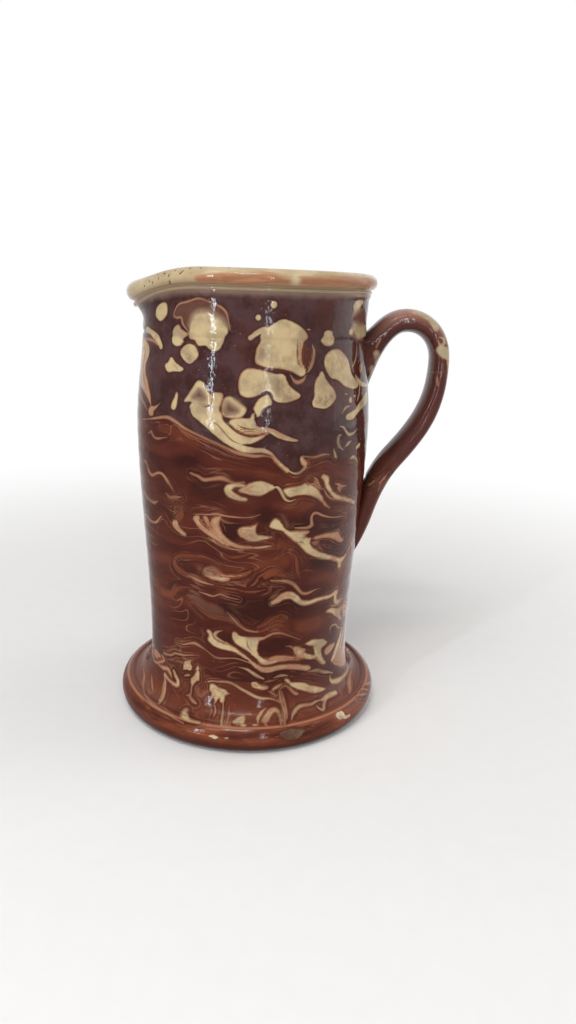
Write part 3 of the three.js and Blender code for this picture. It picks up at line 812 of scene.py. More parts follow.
wallTrails = {
    "cream": [
        [(70.5, 50.5, 0.6), (68.5, 46, 1.7), (64.5, 41, 2.0), (60, 36.5, 1.5), (56, 33, 0.8)],
        [(-2.5, 217.8, 1), (1, 220.5, 1.1), (4.5, 222, 1.4)],
        [(8.5, 233.7, 1.5)],
        [(1.3, 227.6, 1.3)],
        [(55.3, 187, 1.5)],
        [(59.5, 188.5, 0.8)],
        [(51.5, 190.2, 0.6)],
        [(27, 222.5, 0.5)],
        [(61, 199.5, 0.9), (63, 197, 1), (67, 194.5, 1.1), (72, 193.3, 1.1), (80, 192, 1.1)],
        # crest's end
        [(17.5, 153.6, 0.7), (20, 152.3, 0.6), (22.5, 152.3, 0.6), (25, 154, 0.7), (26, 155.8, 0.8),
         (24.8, 157.5, 0.8), (23.6, 159.5, 0.9), (24, 161, 0.7)],
        # waves at mid height
        [(10, 145.2, 0.8), (12, 145.4, 0.7), (13.5, 143.8, 0.7), (15, 141, 0.7), (16.5, 138.7, 0.6),
         (19, 137.7, 0.5), (21.5, 138.4, 0.4)],
        [(-4, 146, 0.5), (-8, 146.2, 0.7), (-11.5, 144.5, 1.3), (-11.5, 142.5, 1.4), (-9, 140.5, 1.2),
         (-6, 139.3, 0.8), (-3, 139, 0.5)],
        [(36.8, 149.2, 1.2), (38.8, 147.5, 1.5), (39.6, 144.5, 1), (41.5, 141.5, 0.8), (44.5, 138.5, 0.7),
         (48, 136.3, 0.8), (53, 134.5, 0.7), (59, 132.5, 0.6), (66, 129.5, 0.6)],
        [(47.5, 169.8, 0.7), (45.8, 169.3, 0.9), (45.6, 166, 0.9), (47, 163.5, 0.8), (49.5, 161.8, 0.5)],
        [(51.5, 163.3, 0.7), (53.5, 164.3, 0.9), (56, 165.6, 0.6)],
        [(42.7, 162.3, 0.6), (43.8, 160, 0.7), (44.6, 158.2, 0.4)],
        [(46.5, 174.2, 0.5), (49, 173.5, 0.7), (51.5, 171, 0.7), (54, 169.2, 0.8), (58, 169.3, 0.7),
         (62, 170.8, 0.6)],
        [(56.5, 155.8, 0.8), (59.5, 156.3, 1), (63, 154.8, 0.9), (66, 152, 0.6)],
        [(52.5, 178.5, 1.6), (56.5, 178.8, 2.2), (60, 180, 1.8), (66, 183, 2), (76, 186, 3)],
        [(63, 161, 1.2), (66, 161.8, 1)],
        [(-24, 95.4, 0.6), (-19, 94.5, 0.9), (-15, 94.4, 1.1), (-11.5, 94.9, 0.7)],
        # waves lower down
        [(12.3, 81.2, 0.7), (15, 82.5, 1.2), (17.5, 84.2, 1.5), (20.5, 84.8, 1.8), (23.5, 84, 1.5),
         (26.5, 81.6, 1.2), (29.5, 79.2, 1.1), (34, 78.4, 1.1), (40, 78.9, 1), (46, 78.5, 0.9),
         (51, 78.1, 0.9), (55.5, 78.5, 1.2), (57.3, 78.3, 1.4)],
        [(56.8, 78.6, 1.2), (56.3, 76, 1.2), (57, 73.6, 1.2), (59, 72, 1.1), (62, 71.6, 0.9),
         (64, 72.4, 0.5)],
        [(-32, 36.5, 0.8), (-30.5, 38.5, 0.9), (-30.3, 40, 0.5)],
    ],
    "tan": [
        [(81, 46, 0.6), (78.5, 42, 1.2), (75, 38, 1.4), (71, 34.5, 1.0), (68, 33, 0.6)],
        [(-45, 226.8, 0.5), (-43.3, 230, 0.5), (-40.5, 232.8, 0.5), (-35, 233.8, 0.5), (-28.5, 235.3, 0.5),
         (-23, 234, 0.5), (-17.5, 232, 0.5), (-14.5, 229.5, 0.6), (-13.3, 225.5, 0.6), (-12.4, 221.5, 0.6)],
        [(-45, 226.8, 0.5), (-42.5, 226, 0.6), (-39.5, 226.2, 0.6), (-38.3, 223, 0.6), (-35, 219.8, 0.6)],
        [(22.6, 215.6, 0.5), (22.2, 210.5, 0.6), (23.2, 206, 0.6), (24.6, 203.8, 0.5)],
        [(29.5, 214.5, 0.8), (30.2, 212, 0.7), (29.3, 207, 0.9), (27.5, 203.5, 0.7), (26, 202, 0.5)],
        [(17.8, 200.5, 0.6), (19.5, 198, 0.8), (21.5, 197.4, 0.9), (24, 198.5, 0.8), (25.4, 200.3, 0.6)],
        [(45.5, 210, 0.3), (47.5, 206.5, 0.4), (49.5, 203, 0.3)],
        [(-84, 213, 1), (-68, 213.8, 0.9), (-60, 213, 0.8), (-55, 211, 0.8)],
        [(-84, 202, 0.7), (-78, 204, 0.9), (-75, 201, 0.9), (-73, 196, 0.8), (-68, 190, 0.6)],
        [(-84, 188, 0.7), (-76, 184, 1), (-68, 180.5, 0.9), (-63.5, 178, 0.6)],
        # edge of the near-black
        [(-70, 172, 0.9), (-62, 173.5, 0.8), (-55, 175, 0.8), (-46, 176.8, 0.9), (-40, 175.3, 0.8),
         (-35, 173, 0.7), (-28, 170.5, 0.6), (-20, 167.8, 0.6), (-14, 165.5, 0.6), (-8, 163, 0.8),
         (0, 161.4, 0.9), (5, 161.6, 0.8), (9, 160.6, 0.6), (12, 157.6, 0.5)],
        [(-8, 174.6, 0.6), (-4, 172.9, 0.6), (0, 172.5, 0.7), (4, 173.4, 0.8), (8, 174.4, 0.6),
         (12, 172.4, 0.9), (16, 170.6, 1), (20.5, 169, 0.8)],
        [(24.4, 161, 0.6), (26, 160.5, 0.5), (31, 160, 0.5), (36, 160.8, 0.5), (39.5, 160.5, 0.4)],
        [(-31, 150, 0.6), (-27, 149, 0.9), (-24, 147.6, 0.9), (-20, 148.3, 0.8), (-16, 149.2, 1),
         (-13.4, 149, 1), (-9, 147.3, 0.5), (-4, 147.8, 0.4)],
        [(27.2, 147.5, 0.5), (28.8, 145.9, 0.5), (31.5, 145.8, 0.5), (33.5, 144, 0.5), (35.5, 142.5, 0.4)],
        [(31, 149.5, 0.5), (33, 147.8, 0.6), (34.5, 145, 0.5), (36.5, 142.5, 0.4)],
        [(37.5, 142.5, 0.4), (40, 139, 0.5), (43, 136.5, 0.5), (47, 135.5, 0.4)],
        [(45.5, 144, 0.5), (48, 143.3, 0.6), (51, 141.8, 0.6), (55, 141.5, 0.5)],
        [(48, 141, 0.5), (49.5, 139.5, 0.4)],
        [(-69.5, 149.8, 1), (-66.5, 149.3, 1.1), (-65, 147, 1.1), (-63, 144.8, 1), (-60, 143.8, 0.8),
         (-57, 145, 0.7), (-53, 146.5, 0.6), (-49.5, 146, 0.8), (-46, 143, 1), (-43.5, 140.5, 1.1),
         (-42.5, 139, 0.8)],
        [(-62.5, 165.8, 0.7), (-59.5, 167.3, 1), (-58, 166, 0.8), (-55, 164.6, 0.6), (-51, 165.2, 0.6),
         (-46, 166.5, 0.4)],
        [(-47.5, 136.2, 0.9), (-45, 134.8, 0.8), (-41, 135.8, 0.6), (-37, 136.5, 0.4)],
        [(-74, 131.5, 0.8), (-68, 129.3, 0.9), (-63, 128.5, 1), (-59, 128.8, 0.9), (-56, 130.2, 0.4)],
        [(-78, 117, 0.8), (-72, 118, 0.9), (-67, 116.8, 0.8), (-62, 116.8, 0.7), (-58, 118.2, 0.7),
         (-55, 121, 0.6), (-53, 122.5, 0.6)],
        [(-22, 116.6, 0.6), (-18, 114.4, 0.7), (-14, 112.8, 0.7), (-9, 111.7, 0.6), (-4, 111.4, 0.5)],
        [(-29, 128.5, 0.4), (-22, 129.3, 0.5), (-18, 130.2, 0.5), (-12, 129.5, 0.4), (-5, 129.2, 0.4),
         (0, 129.6, 0.4), (4, 131, 0.4)],
        [(22.5, 123, 0.5), (26, 122.6, 0.8), (29.5, 122.4, 0.9), (31.8, 123.4, 1), (31.6, 125.5, 0.8),
         (31.4, 128, 0.7), (32.6, 129.8, 0.7), (35, 129.6, 0.6), (38, 128, 0.6), (42, 126.5, 0.5),
         (47, 125.2, 0.5), (56, 124.2, 0.5)],
        [(33, 113.5, 0.8), (35.5, 112.8, 1), (37, 113.5, 0.5)],
        [(58, 98.5, 0.9), (62, 99.8, 0.7), (66, 101.8, 0.7), (70.5, 105.3, 1.1), (73, 98, 1),
         (77, 94.5, 0.8)],
        [(-23, 98.4, 0.6), (-20, 98.6, 1.1), (-17, 97.4, 1.1), (-14, 96.2, 1), (-11, 96.3, 0.8),
         (-7, 96.8, 0.7), (-3, 98, 0.6), (0, 99.5, 0.5)],
        [(-34, 92.8, 0.5), (-30, 91.8, 0.8), (-26, 90.9, 0.7), (-20, 90.3, 0.4)],
        [(11, 94.2, 0.6), (15, 93.8, 0.7), (19, 93.2, 0.9), (23, 91.5, 1), (26, 88.5, 0.9),
         (28.5, 85.5, 0.8), (31, 84.3, 0.8), (34, 84.3, 0.7), (38, 85.2, 0.5), (42, 85.2, 0.3)],
        [(-12, 75, 0.4), (-9, 71.8, 0.6), (-6.5, 68.8, 0.7), (-3, 66.2, 0.6), (0, 65, 0.6), (5, 64.4, 0.5),
         (10, 65.2, 0.5)],
        [(-28, 84.8, 0.5), (-24, 84.3, 0.6), (-20, 83.8, 0.5), (-16, 85.5, 0.4), (-12, 84.3, 0.4),
         (-6, 83.3, 0.4)],
        [(-16, 64.2, 0.5), (-19.5, 62, 0.7), (-19.5, 60.5, 0.7), (-17, 58.5, 0.6), (-13, 56.8, 0.5),
         (-9, 55, 0.5), (-5, 52.3, 0.5)],
        [(5, 59.8, 0.8), (8, 60.5, 0.8), (11, 62, 0.7), (14, 63, 0.6), (18, 62.7, 0.6), (22, 61, 0.5),
         (26, 59, 0.4), (30, 57, 0.3)],
        [(-45, 50.3, 0.4), (-41, 50.3, 0.7), (-37, 52, 0.7), (-32.5, 53.3, 0.9), (-29, 52.5, 0.8),
         (-25, 50.8, 0.5), (-21, 48.3, 0.6), (-18, 47.3, 0.7), (-13, 47.8, 0.5), (-8, 48.3, 0.5),
         (-4, 47.5, 0.7), (0, 46, 0.6)],
        [(-60, 38.2, 0.8), (-56, 39, 0.8), (-51, 40.5, 0.7), (-48.5, 42.5, 0.7), (-44, 43.3, 0.7),
         (-39, 44.3, 0.5), (-34, 45.8, 0.4), (-30, 46.5, 0.3)],
        [(52, 72, 0.5), (55, 71, 0.6), (58, 70.3, 0.5), (62, 69.5, 0.4)],
        [(54.5, 54, 0.5), (54.3, 57, 0.7), (55.5, 58.2, 0.7), (58, 58.2, 0.6), (61, 57.2, 0.6),
         (63.5, 54.8, 0.7), (67, 53, 0.7), (72, 51, 0.6)],
        [(21.5, 54.3, 0.5), (24.5, 53.8, 0.5), (26, 51.5, 0.4)],
        [(38, 44.5, 0.6), (43, 42, 0.6), (47, 38.5, 0.8), (51, 36, 0.8)],
    ],
    "pale": [
        [(75, 49, 0.6), (73, 44, 1.4), (69.5, 39.5, 1.6), (65, 35.5, 1.2), (61, 33, 0.7)],
        [(-24.5, 127.5, 0.7), (-23.5, 127.6, 1.1), (-22.5, 125.4, 1.1), (-21, 122.4, 1),
         (-18.5, 119.4, 0.9), (-15.5, 116.9, 0.8), (-12, 114.8, 0.6)],
        [(0, 112.9, 0.6), (5, 113.1, 0.6), (10, 113.9, 0.4)],
        [(-15.5, 64.2, 0.6), (-18, 63, 0.9), (-19.6, 61.5, 0.9), (-19.4, 60.2, 0.9), (-17.8, 58.9, 0.8),
         (-15, 57.7, 0.7), (-11, 56.7, 0.4)],
        [(-5, 43, 0.5), (-1, 42, 0.7), (2, 40, 0.8), (5, 38, 0.8), (8.5, 36.2, 0.8)],
        [(15, 36.2, 0.6), (19, 37, 0.7), (23, 36.4, 0.5)],
        [(-88, 235.5, 1.6), (-85, 232, 1.8), (-81, 227, 1.4), (-77, 221, 0.8)],
        [(57, 203, 0.4), (61, 206, 0.6), (63.5, 211, 0.6), (64, 216, 0.4)],
        [(62, 186, 0.7), (65, 190, 0.8), (66, 196, 0.6)],
        [(48, 181, 0.5), (51, 183.5, 0.7), (55, 184, 0.5)],
    ],
    "rust": [
        [(-37, 130, 0.8), (-37.5, 127, 0.9), (-39.5, 124.5, 1), (-42, 123, 1.1)],
        [(-57, 77.3, 2.4), (-51, 77.8, 2.1), (-47.5, 80, 1.4), (-45, 82.5, 1.3), (-42, 84.3, 1.2),
         (-38, 85.5, 1), (-35, 86, 0.8), (-30, 85.5, 0.6)],
        [(-33, 76.5, 0.5), (-28, 73.8, 0.6), (-22, 71.2, 0.7), (-17, 70.8, 0.8), (-12, 70.3, 0.6),
         (-8, 69.8, 0.6)],
        [(8, 97, 1.6), (12, 99, 2), (15, 97.8, 1.4), (19, 96, 0.8), (24, 94.5, 0.4)],
        [(0, 91, 0.5), (3, 93.5, 0.6), (4, 96, 0.5), (7, 98.5, 0.6)],
        [(21, 110, 0.6), (24, 106, 0.8), (25, 101, 0.8), (26, 97, 0.8), (27.5, 93.5, 0.5)],
        [(28, 98, 0.4), (32, 97.8, 0.5), (36, 96.2, 0.4)],
        [(-16, 109.5, 0.5), (-12, 107.5, 0.8), (-8, 107.3, 0.8), (-4, 108.3, 0.7), (0, 109.5, 0.5)],
        [(5, 67, 0.4), (9, 69, 0.7), (12, 71.5, 0.7), (15, 73, 0.6), (18, 73.5, 0.5), (21, 71.5, 0.4)],
        [(0, 64.5, 0.4), (6, 64.5, 0.6), (11, 66.5, 0.7), (15, 68, 0.7), (18, 67.3, 0.6), (21, 65.5, 0.4)],
        [(14, 70.3, 0.5), (17, 70.5, 0.6), (19.5, 69, 0.4)],
        [(-40, 124.3, 0.9), (-38, 125, 1), (-37, 127.2, 1), (-37.4, 129.6, 0.8)],
        [(-44, 101, 0.9), (-40, 103.4, 0.9), (-36, 104.2, 0.8), (-31, 105, 0.7), (-26, 105.6, 0.6),
         (-21, 104.6, 0.5), (-17, 102.6, 0.4)],
        [(-44.6, 99, 1), (-44, 95.4, 1), (-40, 93.8, 0.9), (-36, 92.6, 0.7)],
        [(-18, 90, 0.6), (-12, 89.4, 0.6), (-7, 89, 0.6), (-3, 88, 0.6), (2, 88, 0.6), (8, 89.2, 0.5)],
    ],
    "dark": [
        [(-82, 207, 0.5), (-77, 209, 0.7), (-73, 207, 0.6), (-74, 201, 0.6), (-72, 194, 0.6),
         (-66, 188.6, 0.4)],
        [(24.9, 215.6, 0.6), (25.8, 211.5, 1.4), (25.6, 207.5, 1.3), (25.2, 204.8, 0.5)],
        [(21.4, 217.5, 0.3), (20.9, 212, 0.45), (21.3, 207, 0.45), (22.6, 204.6, 0.3)],
        [(-0.5, 204.6, 0.6), (6, 203.7, 0.7), (12, 203, 0.8), (17.5, 202.2, 0.9)],
        [(-15, 179.8, 0.3), (-13.5, 177.5, 0.4), (-11, 175.6, 0.5), (-8.5, 173.6, 0.5), (-6, 172.2, 0.5),
         (-3, 171.3, 0.5), (0, 171.1, 0.5), (3, 171.9, 0.4), (6, 173, 0.3)],
        [(-21.4, 175.4, 0.3), (-20.5, 176.6, 0.4), (-18.5, 176.8, 0.4), (-16.5, 175.6, 0.4),
         (-14.8, 173.8, 0.5), (-13, 171.8, 0.5), (-11, 169.7, 0.5), (-9, 168.3, 0.5), (-6.5, 167.4, 0.4)],
        [(-7, 176.3, 0.3), (-4, 175, 0.5), (-1, 174.6, 0.5), (1.6, 175, 0.3)],
        [(-1, 59.6, 0.3), (-1.1, 57.6, 0.4), (-0.4, 55.4, 0.4), (1.4, 53, 0.3)],
        [(-13, 58.2, 0.3), (-8, 55.4, 0.5), (-4, 53, 0.5), (-1, 50.8, 0.4), (2, 48.4, 0.4), (5, 45.6, 0.5),
         (8, 43.8, 0.5), (13, 43.6, 0.5), (20, 44.2, 0.5), (28, 43.2, 0.4), (36, 41.4, 0.4)],
        [(31, 107.2, 0.3), (34.5, 105, 0.4), (38, 104, 0.4), (43, 102.8, 0.3)],
        [(24, 114.4, 0.3), (26.5, 114.8, 0.4), (28.5, 113.2, 0.3)],
        [(-38.8, 213.6, 0.4), (-34, 214.6, 0.5), (-30, 213.6, 0.5), (-28.2, 210.6, 0.4)],
        [(-24.5, 184, 0.3), (-21.6, 184.8, 0.4), (-20.8, 186.2, 0.3)],
        [(35.4, 49.6, 1), (38, 48.3, 1.5), (40.4, 46.4, 1)],
    ],
}
wallShades = {  # soft patches of the ground
    "shade": [
        [(-28, 142.5, 3.5), (-20, 142, 4.5), (-14, 143, 2.5)],
        [(4, 131, 2.5), (9, 130.5, 4.5), (13, 131, 2)],
        [(17, 126.5, 1.6), (23, 125.5, 2.2), (29, 126, 1.6)],
        [(-11, 122.5, 4.5), (-8, 125, 2.5)],
        [(34, 121.5, 2.6), (40, 122, 2.6), (50, 120, 2)],
        [(-60, 153.5, 2.5), (-45, 153, 2.5), (-30, 157, 2)],
        [(-14, 78, 3), (-6, 79, 5), (4, 77, 6), (14, 77.5, 4), (30, 74, 4), (48, 73.5, 3.5)],
        [(8, 55.5, 3), (15, 56, 4.5), (22, 56.5, 2.5)],
        [(-36, 98, 3.5), (-33, 96, 3)],
        [(45, 107.5, 2.5), (55, 104.5, 3), (63, 104, 2)],
        [(36, 101.5, 1.8), (45, 98.3, 2.2), (51, 96, 2)],
        [(-14, 61, 2), (-11, 60, 2.5)],
        [(57, 54, 3), (61, 51, 2.5)],
        [(0, 168.5, 1.5), (8, 167, 3.5), (13, 163, 2.5)],
    ],
    "dull": [
        [(12.5, 195.5, 3), (15, 192.5, 3), (19, 190.5, 1.5)],
        [(33.5, 187.5, 2.4), (38, 188.6, 2.6), (41, 190, 1.4)],
        [(-42, 203, 0.6), (-40, 202, 0.6)],
        [(-34, 207, 1), (-31.5, 206.2, 1)],
        [(58, 195, 1.2), (61, 194, 1)],
        [(3, 209, 0.8), (3.5, 213, 0.6)],
    ],
    "glow": [
        [(-50, 171, 1.5), (-38, 169.5, 2.5), (-28, 167, 2)],
        [(12, 135, 1.5), (20, 135.5, 2.5), (30, 134.5, 2.5)],
        [(-66, 96, 2.5), (-56, 97.5, 2.5), (-48, 99.5, 2)],
        [(-70, 81, 2.5), (-60, 77.5, 3), (-50, 75, 2.5), (-42, 78, 2.5), (-36, 76, 2)],
        [(5, 104, 3), (14, 104.5, 4), (20, 106, 2)],
        [(4, 151.5, 1.6), (12, 149.5, 1.6), (20, 148.5, 1.4)],
        [(36, 92, 2), (46, 90, 2.4), (56, 87, 3)],
        [(60, 92, 4), (70, 90, 4)],
        [(2, 112, 1.5), (8, 114, 1.8), (14, 114.5, 1.5), (20, 111.5, 1.2)],
        [(30, 64, 2.5), (42, 64, 2.5)],
    ],
}


def wallRadius(height):
    height = np.asarray(height, float)
    radius = np.full(height.shape, wall["stations"][0][1])
    for (low, lowRadius), (high, highRadius) in zip(wall["stations"], wall["stations"][1:]):
        grown = lowRadius + (highRadius - lowRadius) * ease((height - low) / (high - low))
        radius = np.where(height >= low, grown, radius)
    return radius


def rippled(heights, wander):
    far, height = wander
    return np.sin(heights * math.tau / wall["ripplePitch"] + far * np.sin(heights / height))


def wallProfile():
    waist = wall["stations"][0][0]
    rows = np.arange(waist - wall["overlap"], wallTop, wall["rowStep"])
    heights = np.concatenate([[floorTop, wall["buriedRow"]], rows, [wallTop]])
    ripple = rippled(heights, wall["rippleWander"]) * ease((heights - waist) / wall["rippleFade"])
    radii = wallRadius(heights) + wall["throwingRipple"] * ripple
    radii -= wall["scoreDepth"] * np.exp(-((heights - wall["scoreHeight"]) / wall["scoreWidth"]) ** 2)
    radii += wall["collarSize"] * np.exp(-((heights - wall["collarHeight"]) / wall["collarHalf"]) ** 4)
    coveTop = floorTop + wall["cove"]
    inner = np.linspace(wallTop, coveTop, wall["insideRows"])
    ripple = rippled(inner, wall["insideWander"]) * ease((wallTop - inner) / wall["rippleFade"])
    hollow = wallRadius(inner) - wall["thickness"] + wall["insideRipple"] * ripple
    turn = np.linspace(0, math.pi / 2, wall["coveRows"])[1:]
    coveRadii = hollow[-1] - wall["cove"] * (1 - np.cos(turn))
    coveHeights = coveTop - wall["cove"] * np.sin(turn)
    radii = np.concatenate([radii, hollow, coveRadii, radii[:1]])
    heights = np.concatenate([heights, inner, coveHeights, heights[:1]])
    up = heights.copy()
    up[-(len(inner) + len(turn) + 1):] = wall["noMarks"]
    return stood(radii, heights), up


marbled = {
    "cream": rgb(0.49, 0.361, 0.194),
    "creamShade": rgb(0.314, 0.229, 0.132),
    "dull": rgb(0.188, 0.122, 0.0775),
    "tan": rgb(0.344, 0.163, 0.09),
    "rust": rgb(0.163, 0.0425, 0.0175),
    "film": rgb(0.144, 0.0575, 0.0363),
    "milk": rgb(0.413, 0.269, 0.181),
    "blush": rgb(0.0775, 0.0181, 0.0106),
    "collar": rgb(0.219, 0.14, 0.103),
    "nearBlack": rgb(0.041, 0.0152, 0.0135),
    "purple": rgb(0.07, 0.0325, 0.033),
    "redDark": rgb(0.0361, 0.009, 0.0064),
    "red": rgb(0.0634, 0.0138, 0.0088),
    "redLight": rgb(0.0889, 0.02, 0.0114),
    "orange": rgb(0.125, 0.0318, 0.0155),
    "lining": rgb(0.504, 0.324, 0.156),
    "liningStain": rgb(0.288, 0.126, 0.048),
}


def slipColour(graph, tone, warm):  # dark under 0, rust, tan, then cream
    pale = graph.mix(warm, marbled["creamShade"], marbled["cream"])
    colour = graph.mix(tone.ease(-0.45, 0.1), marbled["nearBlack"], marbled["rust"])
    colour = graph.mix(tone.ease(0.22, 0.52), colour, marbled["tan"])
    return graph.mix(tone.ease(0.6, 0.95), colour, pale)


def layered(graph, place, ground, edgeDark, combed=1.0, soft=0.0):  # combed: drawn out, not in drops
    ragged = graph.noise(place, 520.0, 3.0, 0.6, seed=4.0) - 0.5
    warm = graph.noise(place, 85.0, 4.0, 0.65, seed=9.0).ease(0.36, 0.60)
    drawnOut = graph.vector("MULTIPLY", place, (1.0, 1.0, 5.0))
    feather = graph.noise(drawnOut, 75.0, 3.0, 0.6, 0.4, seed=17.0) - 0.5
    gate = graph.field("gate")
    lumpy = graph.noise(place, 210.0, 2.0, seed=23.0) - 0.5
    blob = graph.field("blob") + ragged * 0.6 + lumpy * 0.7 + feather * combed * 1.1 + combed * 0.3
    depth = blob.most(0 - gate)
    threads = graph.noise(place, 30.0, 1.0, 0.5, seed=(depth + feather * 2) * 0.024 + 18.0)  # along the marks
    patchy = graph.noise(place, 42.0, 2.0, seed=16.0).ease(0.42, 0.60)
    near = depth.ease(-6.0, -1.5)
    thread = (1 - abs(threads - 0.5).ease(0.008, 0.05)) * near
    ground = graph.mix(threads.ease(0.5, 0.64) * near * combed * 0.45, ground, edgeDark)
    ground = graph.mix(thread * patchy * combed * 0.32, ground, marbled["tan"])
    bare = graph.mix(blob.ease(-1.6, -0.3) * (1 - combed) * 0.5, ground, edgeDark)
    fringe = graph.noise(place, 60.0, 2.0, seed=29.0).ease(0.42, 0.6) * (0.24 + combed * 0.12)
    fringe = (fringe + 0.06 + combed * 0.12) * (1 - soft)
    tone = graph.field("blobTone") - (1 - blob.ease(-0.2, 1.3)) * fringe - (1 - warm) * 0.08
    tone = tone - threads.ease(0.5, 0.62) * combed * 0.28
    reach = 0.42 + combed * 0.3 + soft * 1.9
    colour = graph.mix(blob.ease(0 - reach, reach), bare, slipColour(graph, tone, warm))
    lineTone = graph.field("lineTone") + ragged * 0.35
    inLine = (1 - abs(graph.field("side")).ease(0.2, 1.45)) * (1 - gate.ease(0.3, 0.9))
    broken = graph.noise(place, 75.0, 2.0, seed=6.0).ease(0.3, 0.62) * 0.5 + 0.42
    return graph.mix(inLine * broken, colour, slipColour(graph, lineTone, warm)), blob


def redGround(graph, place, shift=0.0, seed=0.0):  # red-brown slip combed into long wavy bands
    flow = graph.field("flow")
    drift = graph.vector("ADD", place, graph.joined(0.0, 0.0, flow * mm))
    stretched = graph.vector("MULTIPLY", drift, (1.0, 1.0, 3.6))
    bands = graph.noise(stretched, 15.0, 2.0, 0.5, 0.8, seed=seed + 1.0)
    thinner = graph.vector("MULTIPLY", drift, (1.0, 1.0, 7.0))
    fine = graph.noise(thinner, 38.0, 3.0, 0.6, 0.3, seed=seed + 2.0)
    stops = [(0.30, marbled["redDark"]), (0.46, marbled["red"]), (0.58, marbled["redLight"]),
             (0.74, marbled["orange"])]
    ground = graph.ramp(bands * 0.78 + fine * 0.22 + shift, stops)
    veins = graph.noise(stretched, 11.0, 2.0, 0.5, 0.9, seed=seed + 3.0)
    ring = graph.math("FRACT", veins * 13.0)
    vein = 1 - abs(ring - 0.5).ease(0.02, 0.10)
    some = graph.noise(place, 31.0, 2.0, seed=seed + 5.0).ease(0.5, 0.66)
    return graph.mix(vein * some * 0.42, ground, marbled["tan"])


glazeSpecular = 0.16


def glazed(graph, colour, roughness, height):  # height in mm
    bump = graph.add("ShaderNodeBump", {}, {"Strength": 1.0, "Distance": mm, "Height": height})
    sockets = {"Base Color": colour, "Roughness": roughness, "Normal": bump}
    sockets["Specular IOR Level"] = glazeSpecular
    surface = graph.add("ShaderNodeBsdfPrincipled", {}, sockets)
    graph.add("ShaderNodeOutputMaterial", {}, {"Surface": surface})


def glazeSkin(graph, place):  # unevenness of a dipped glaze, in mm
    slow = graph.noise(place, 95.0, 2.0, 0.5, seed=11.0)
    quick = graph.noise(place, 340.0, 1.0, 0.6, seed=12.0)
    return slow * 0.14 + quick * 0.13


def slipStep(blob):  # how far the slip stands over the ground, in mm
    return blob.ease(-0.4, 0.6) * 0.03


def creamLining(graph, place):  # slip on the inside of the jug
    stain = graph.noise(place, 38.0, 4.0, 0.6, seed=10.0).ease(0.5, 0.68)
    return graph.mix(stain, marbled["lining"], marbled["liningStain"])


def marbledGlaze():
    material, graph = newMaterial("marbled glaze")
    place = graph.add("ShaderNodeTexCoord", out="Object")
    ground = redGround(graph, place, graph.field("patch") * 0.15)
    mottle = graph.noise(place, 70.0, 4.0, 0.65, seed=7.0)
    top = graph.mix(mottle.ease(0.40, 0.62), marbled["nearBlack"], marbled["purple"])
    blush = graph.noise(place, 24.0, 3.0, 0.6, seed=26.0).ease(0.48, 0.66)
    top = graph.mix(blush * 0.75, top, marbled["blush"])
    # tan flecks over the near-black: partly specks in the glaze and partly painted sparkle
    fleckAndSparkle = graph.noise(place, 900.0, 1.0, seed=19.0).ease(0.70, 0.78)
    top = graph.mix(fleckAndSparkle * 0.35, top, marbled["tan"])
    wander = graph.noise(place, 160.0, 2.0, seed=8.0) - 0.5
    inTop = (graph.field("zone") + wander * 2).ease(-0.8, 0.8)
    ground = graph.mix(inTop, ground, top)
    film = (graph.field("film") + wander * 3).ease(-1.2, 1.8) * (0.25 + mottle * 0.8)
    milky = graph.mix(graph.field("blob").ease(-3.2, 0.6), marbled["film"], marbled["milk"])
    ground = graph.mix(film, ground, milky)
    under = (graph.field("up") + wander * 3).ease(235.5, 239.5) * (0.5 + mottle * 0.5)
    ground = graph.mix(under, ground, marbled["collar"])
    colour, blob = layered(graph, place, ground, marbled["redDark"], 1 - inTop * 0.9, film)
    speckle = graph.noise(place, 330.0, 3.0, 0.7, seed=28.0).ease(0.40, 0.60)
    dull = graph.field("dull") * blob.ease(0.0, 1.5) * (0.25 + speckle * 0.5)
    colour = graph.mix(dull, colour, marbled["dull"])
    colour = graph.mix(graph.field("inside"), colour, creamLining(graph, place))
    pits = graph.noise(place, 380.0, 2.0, 0.7, seed=13.0).ease(0.62, 0.75)
    height = glazeSkin(graph, place) - pits * 0.09 + slipStep(blob)
    roughness = 0.05 + graph.noise(place, 210.0, 2.0, seed=14.0) * 0.08
    glazed(graph, colour, roughness, height)
    return material


turning = wheelTree()


def wheelMade(name, points, up, sizes, glaze, pull):
    given = {"Columns": sizes["columns"], "Front Packing": sizes["frontPacking"], "Seed": sizes["seed"]}
    given.update({"Wobble": sizes["wobble"] * mm, "Glaze": glaze, **pull})
    return shaped(name, turning, lineMesh(points, {"up": up}), given)


def makeWall():
    piece = wheelMade("marbled_wall", *wallProfile(), wall, marbledGlaze(), lip)
    spots = corners(piece)
    level = heldField(piece, "up")
    across, share = unroll(spots)
    skew = np.where(across > 0, wall["backRise"], -wall["backFall"]) * np.sin(np.pi * share)
    fade = ease((level - wall["stations"][0][0]) / wall["skewFade"])
    edgeLevel = level + skew * fade
    step = wall["backStep"] * ease(share / wall["backStepRun"]) * (1 - ease(2 * share - 1))
    drifted = edgeLevel + np.where(across < 0, step, 0) * fade
    fields = drawSlip(across, drifted, wallTrails, wallBlobs)
    fields["blob"] = np.minimum(fields["blob"], -drawLoops(across, drifted, wallHoles))
    fields["film"] = drawLoops(across, drifted, wallFilms)
    fields["patch"] = drawPatches(across, drifted, wallShades["glow"])
    fields["patch"] -= drawPatches(across, drifted, wallShades["shade"])
    fields["dull"] = drawPatches(across, drifted, wallShades["dull"])
    edgeAcross, edgeUp = np.array(wall["zoneEdge"], float).T
    fields["zone"] = edgeLevel - np.interp(across, edgeAcross, edgeUp)
    fields["inside"] = (level < 0).astype(float)
    keepFields(piece, fields)
    relief = ease((fields["blob"] + 0.5) / 1.2) * (level > 0)
    pressIn(piece, -wall["slipRelief"] * relief)
    dress(piece, "marbled_glaze", "body_wall")


makeWall()


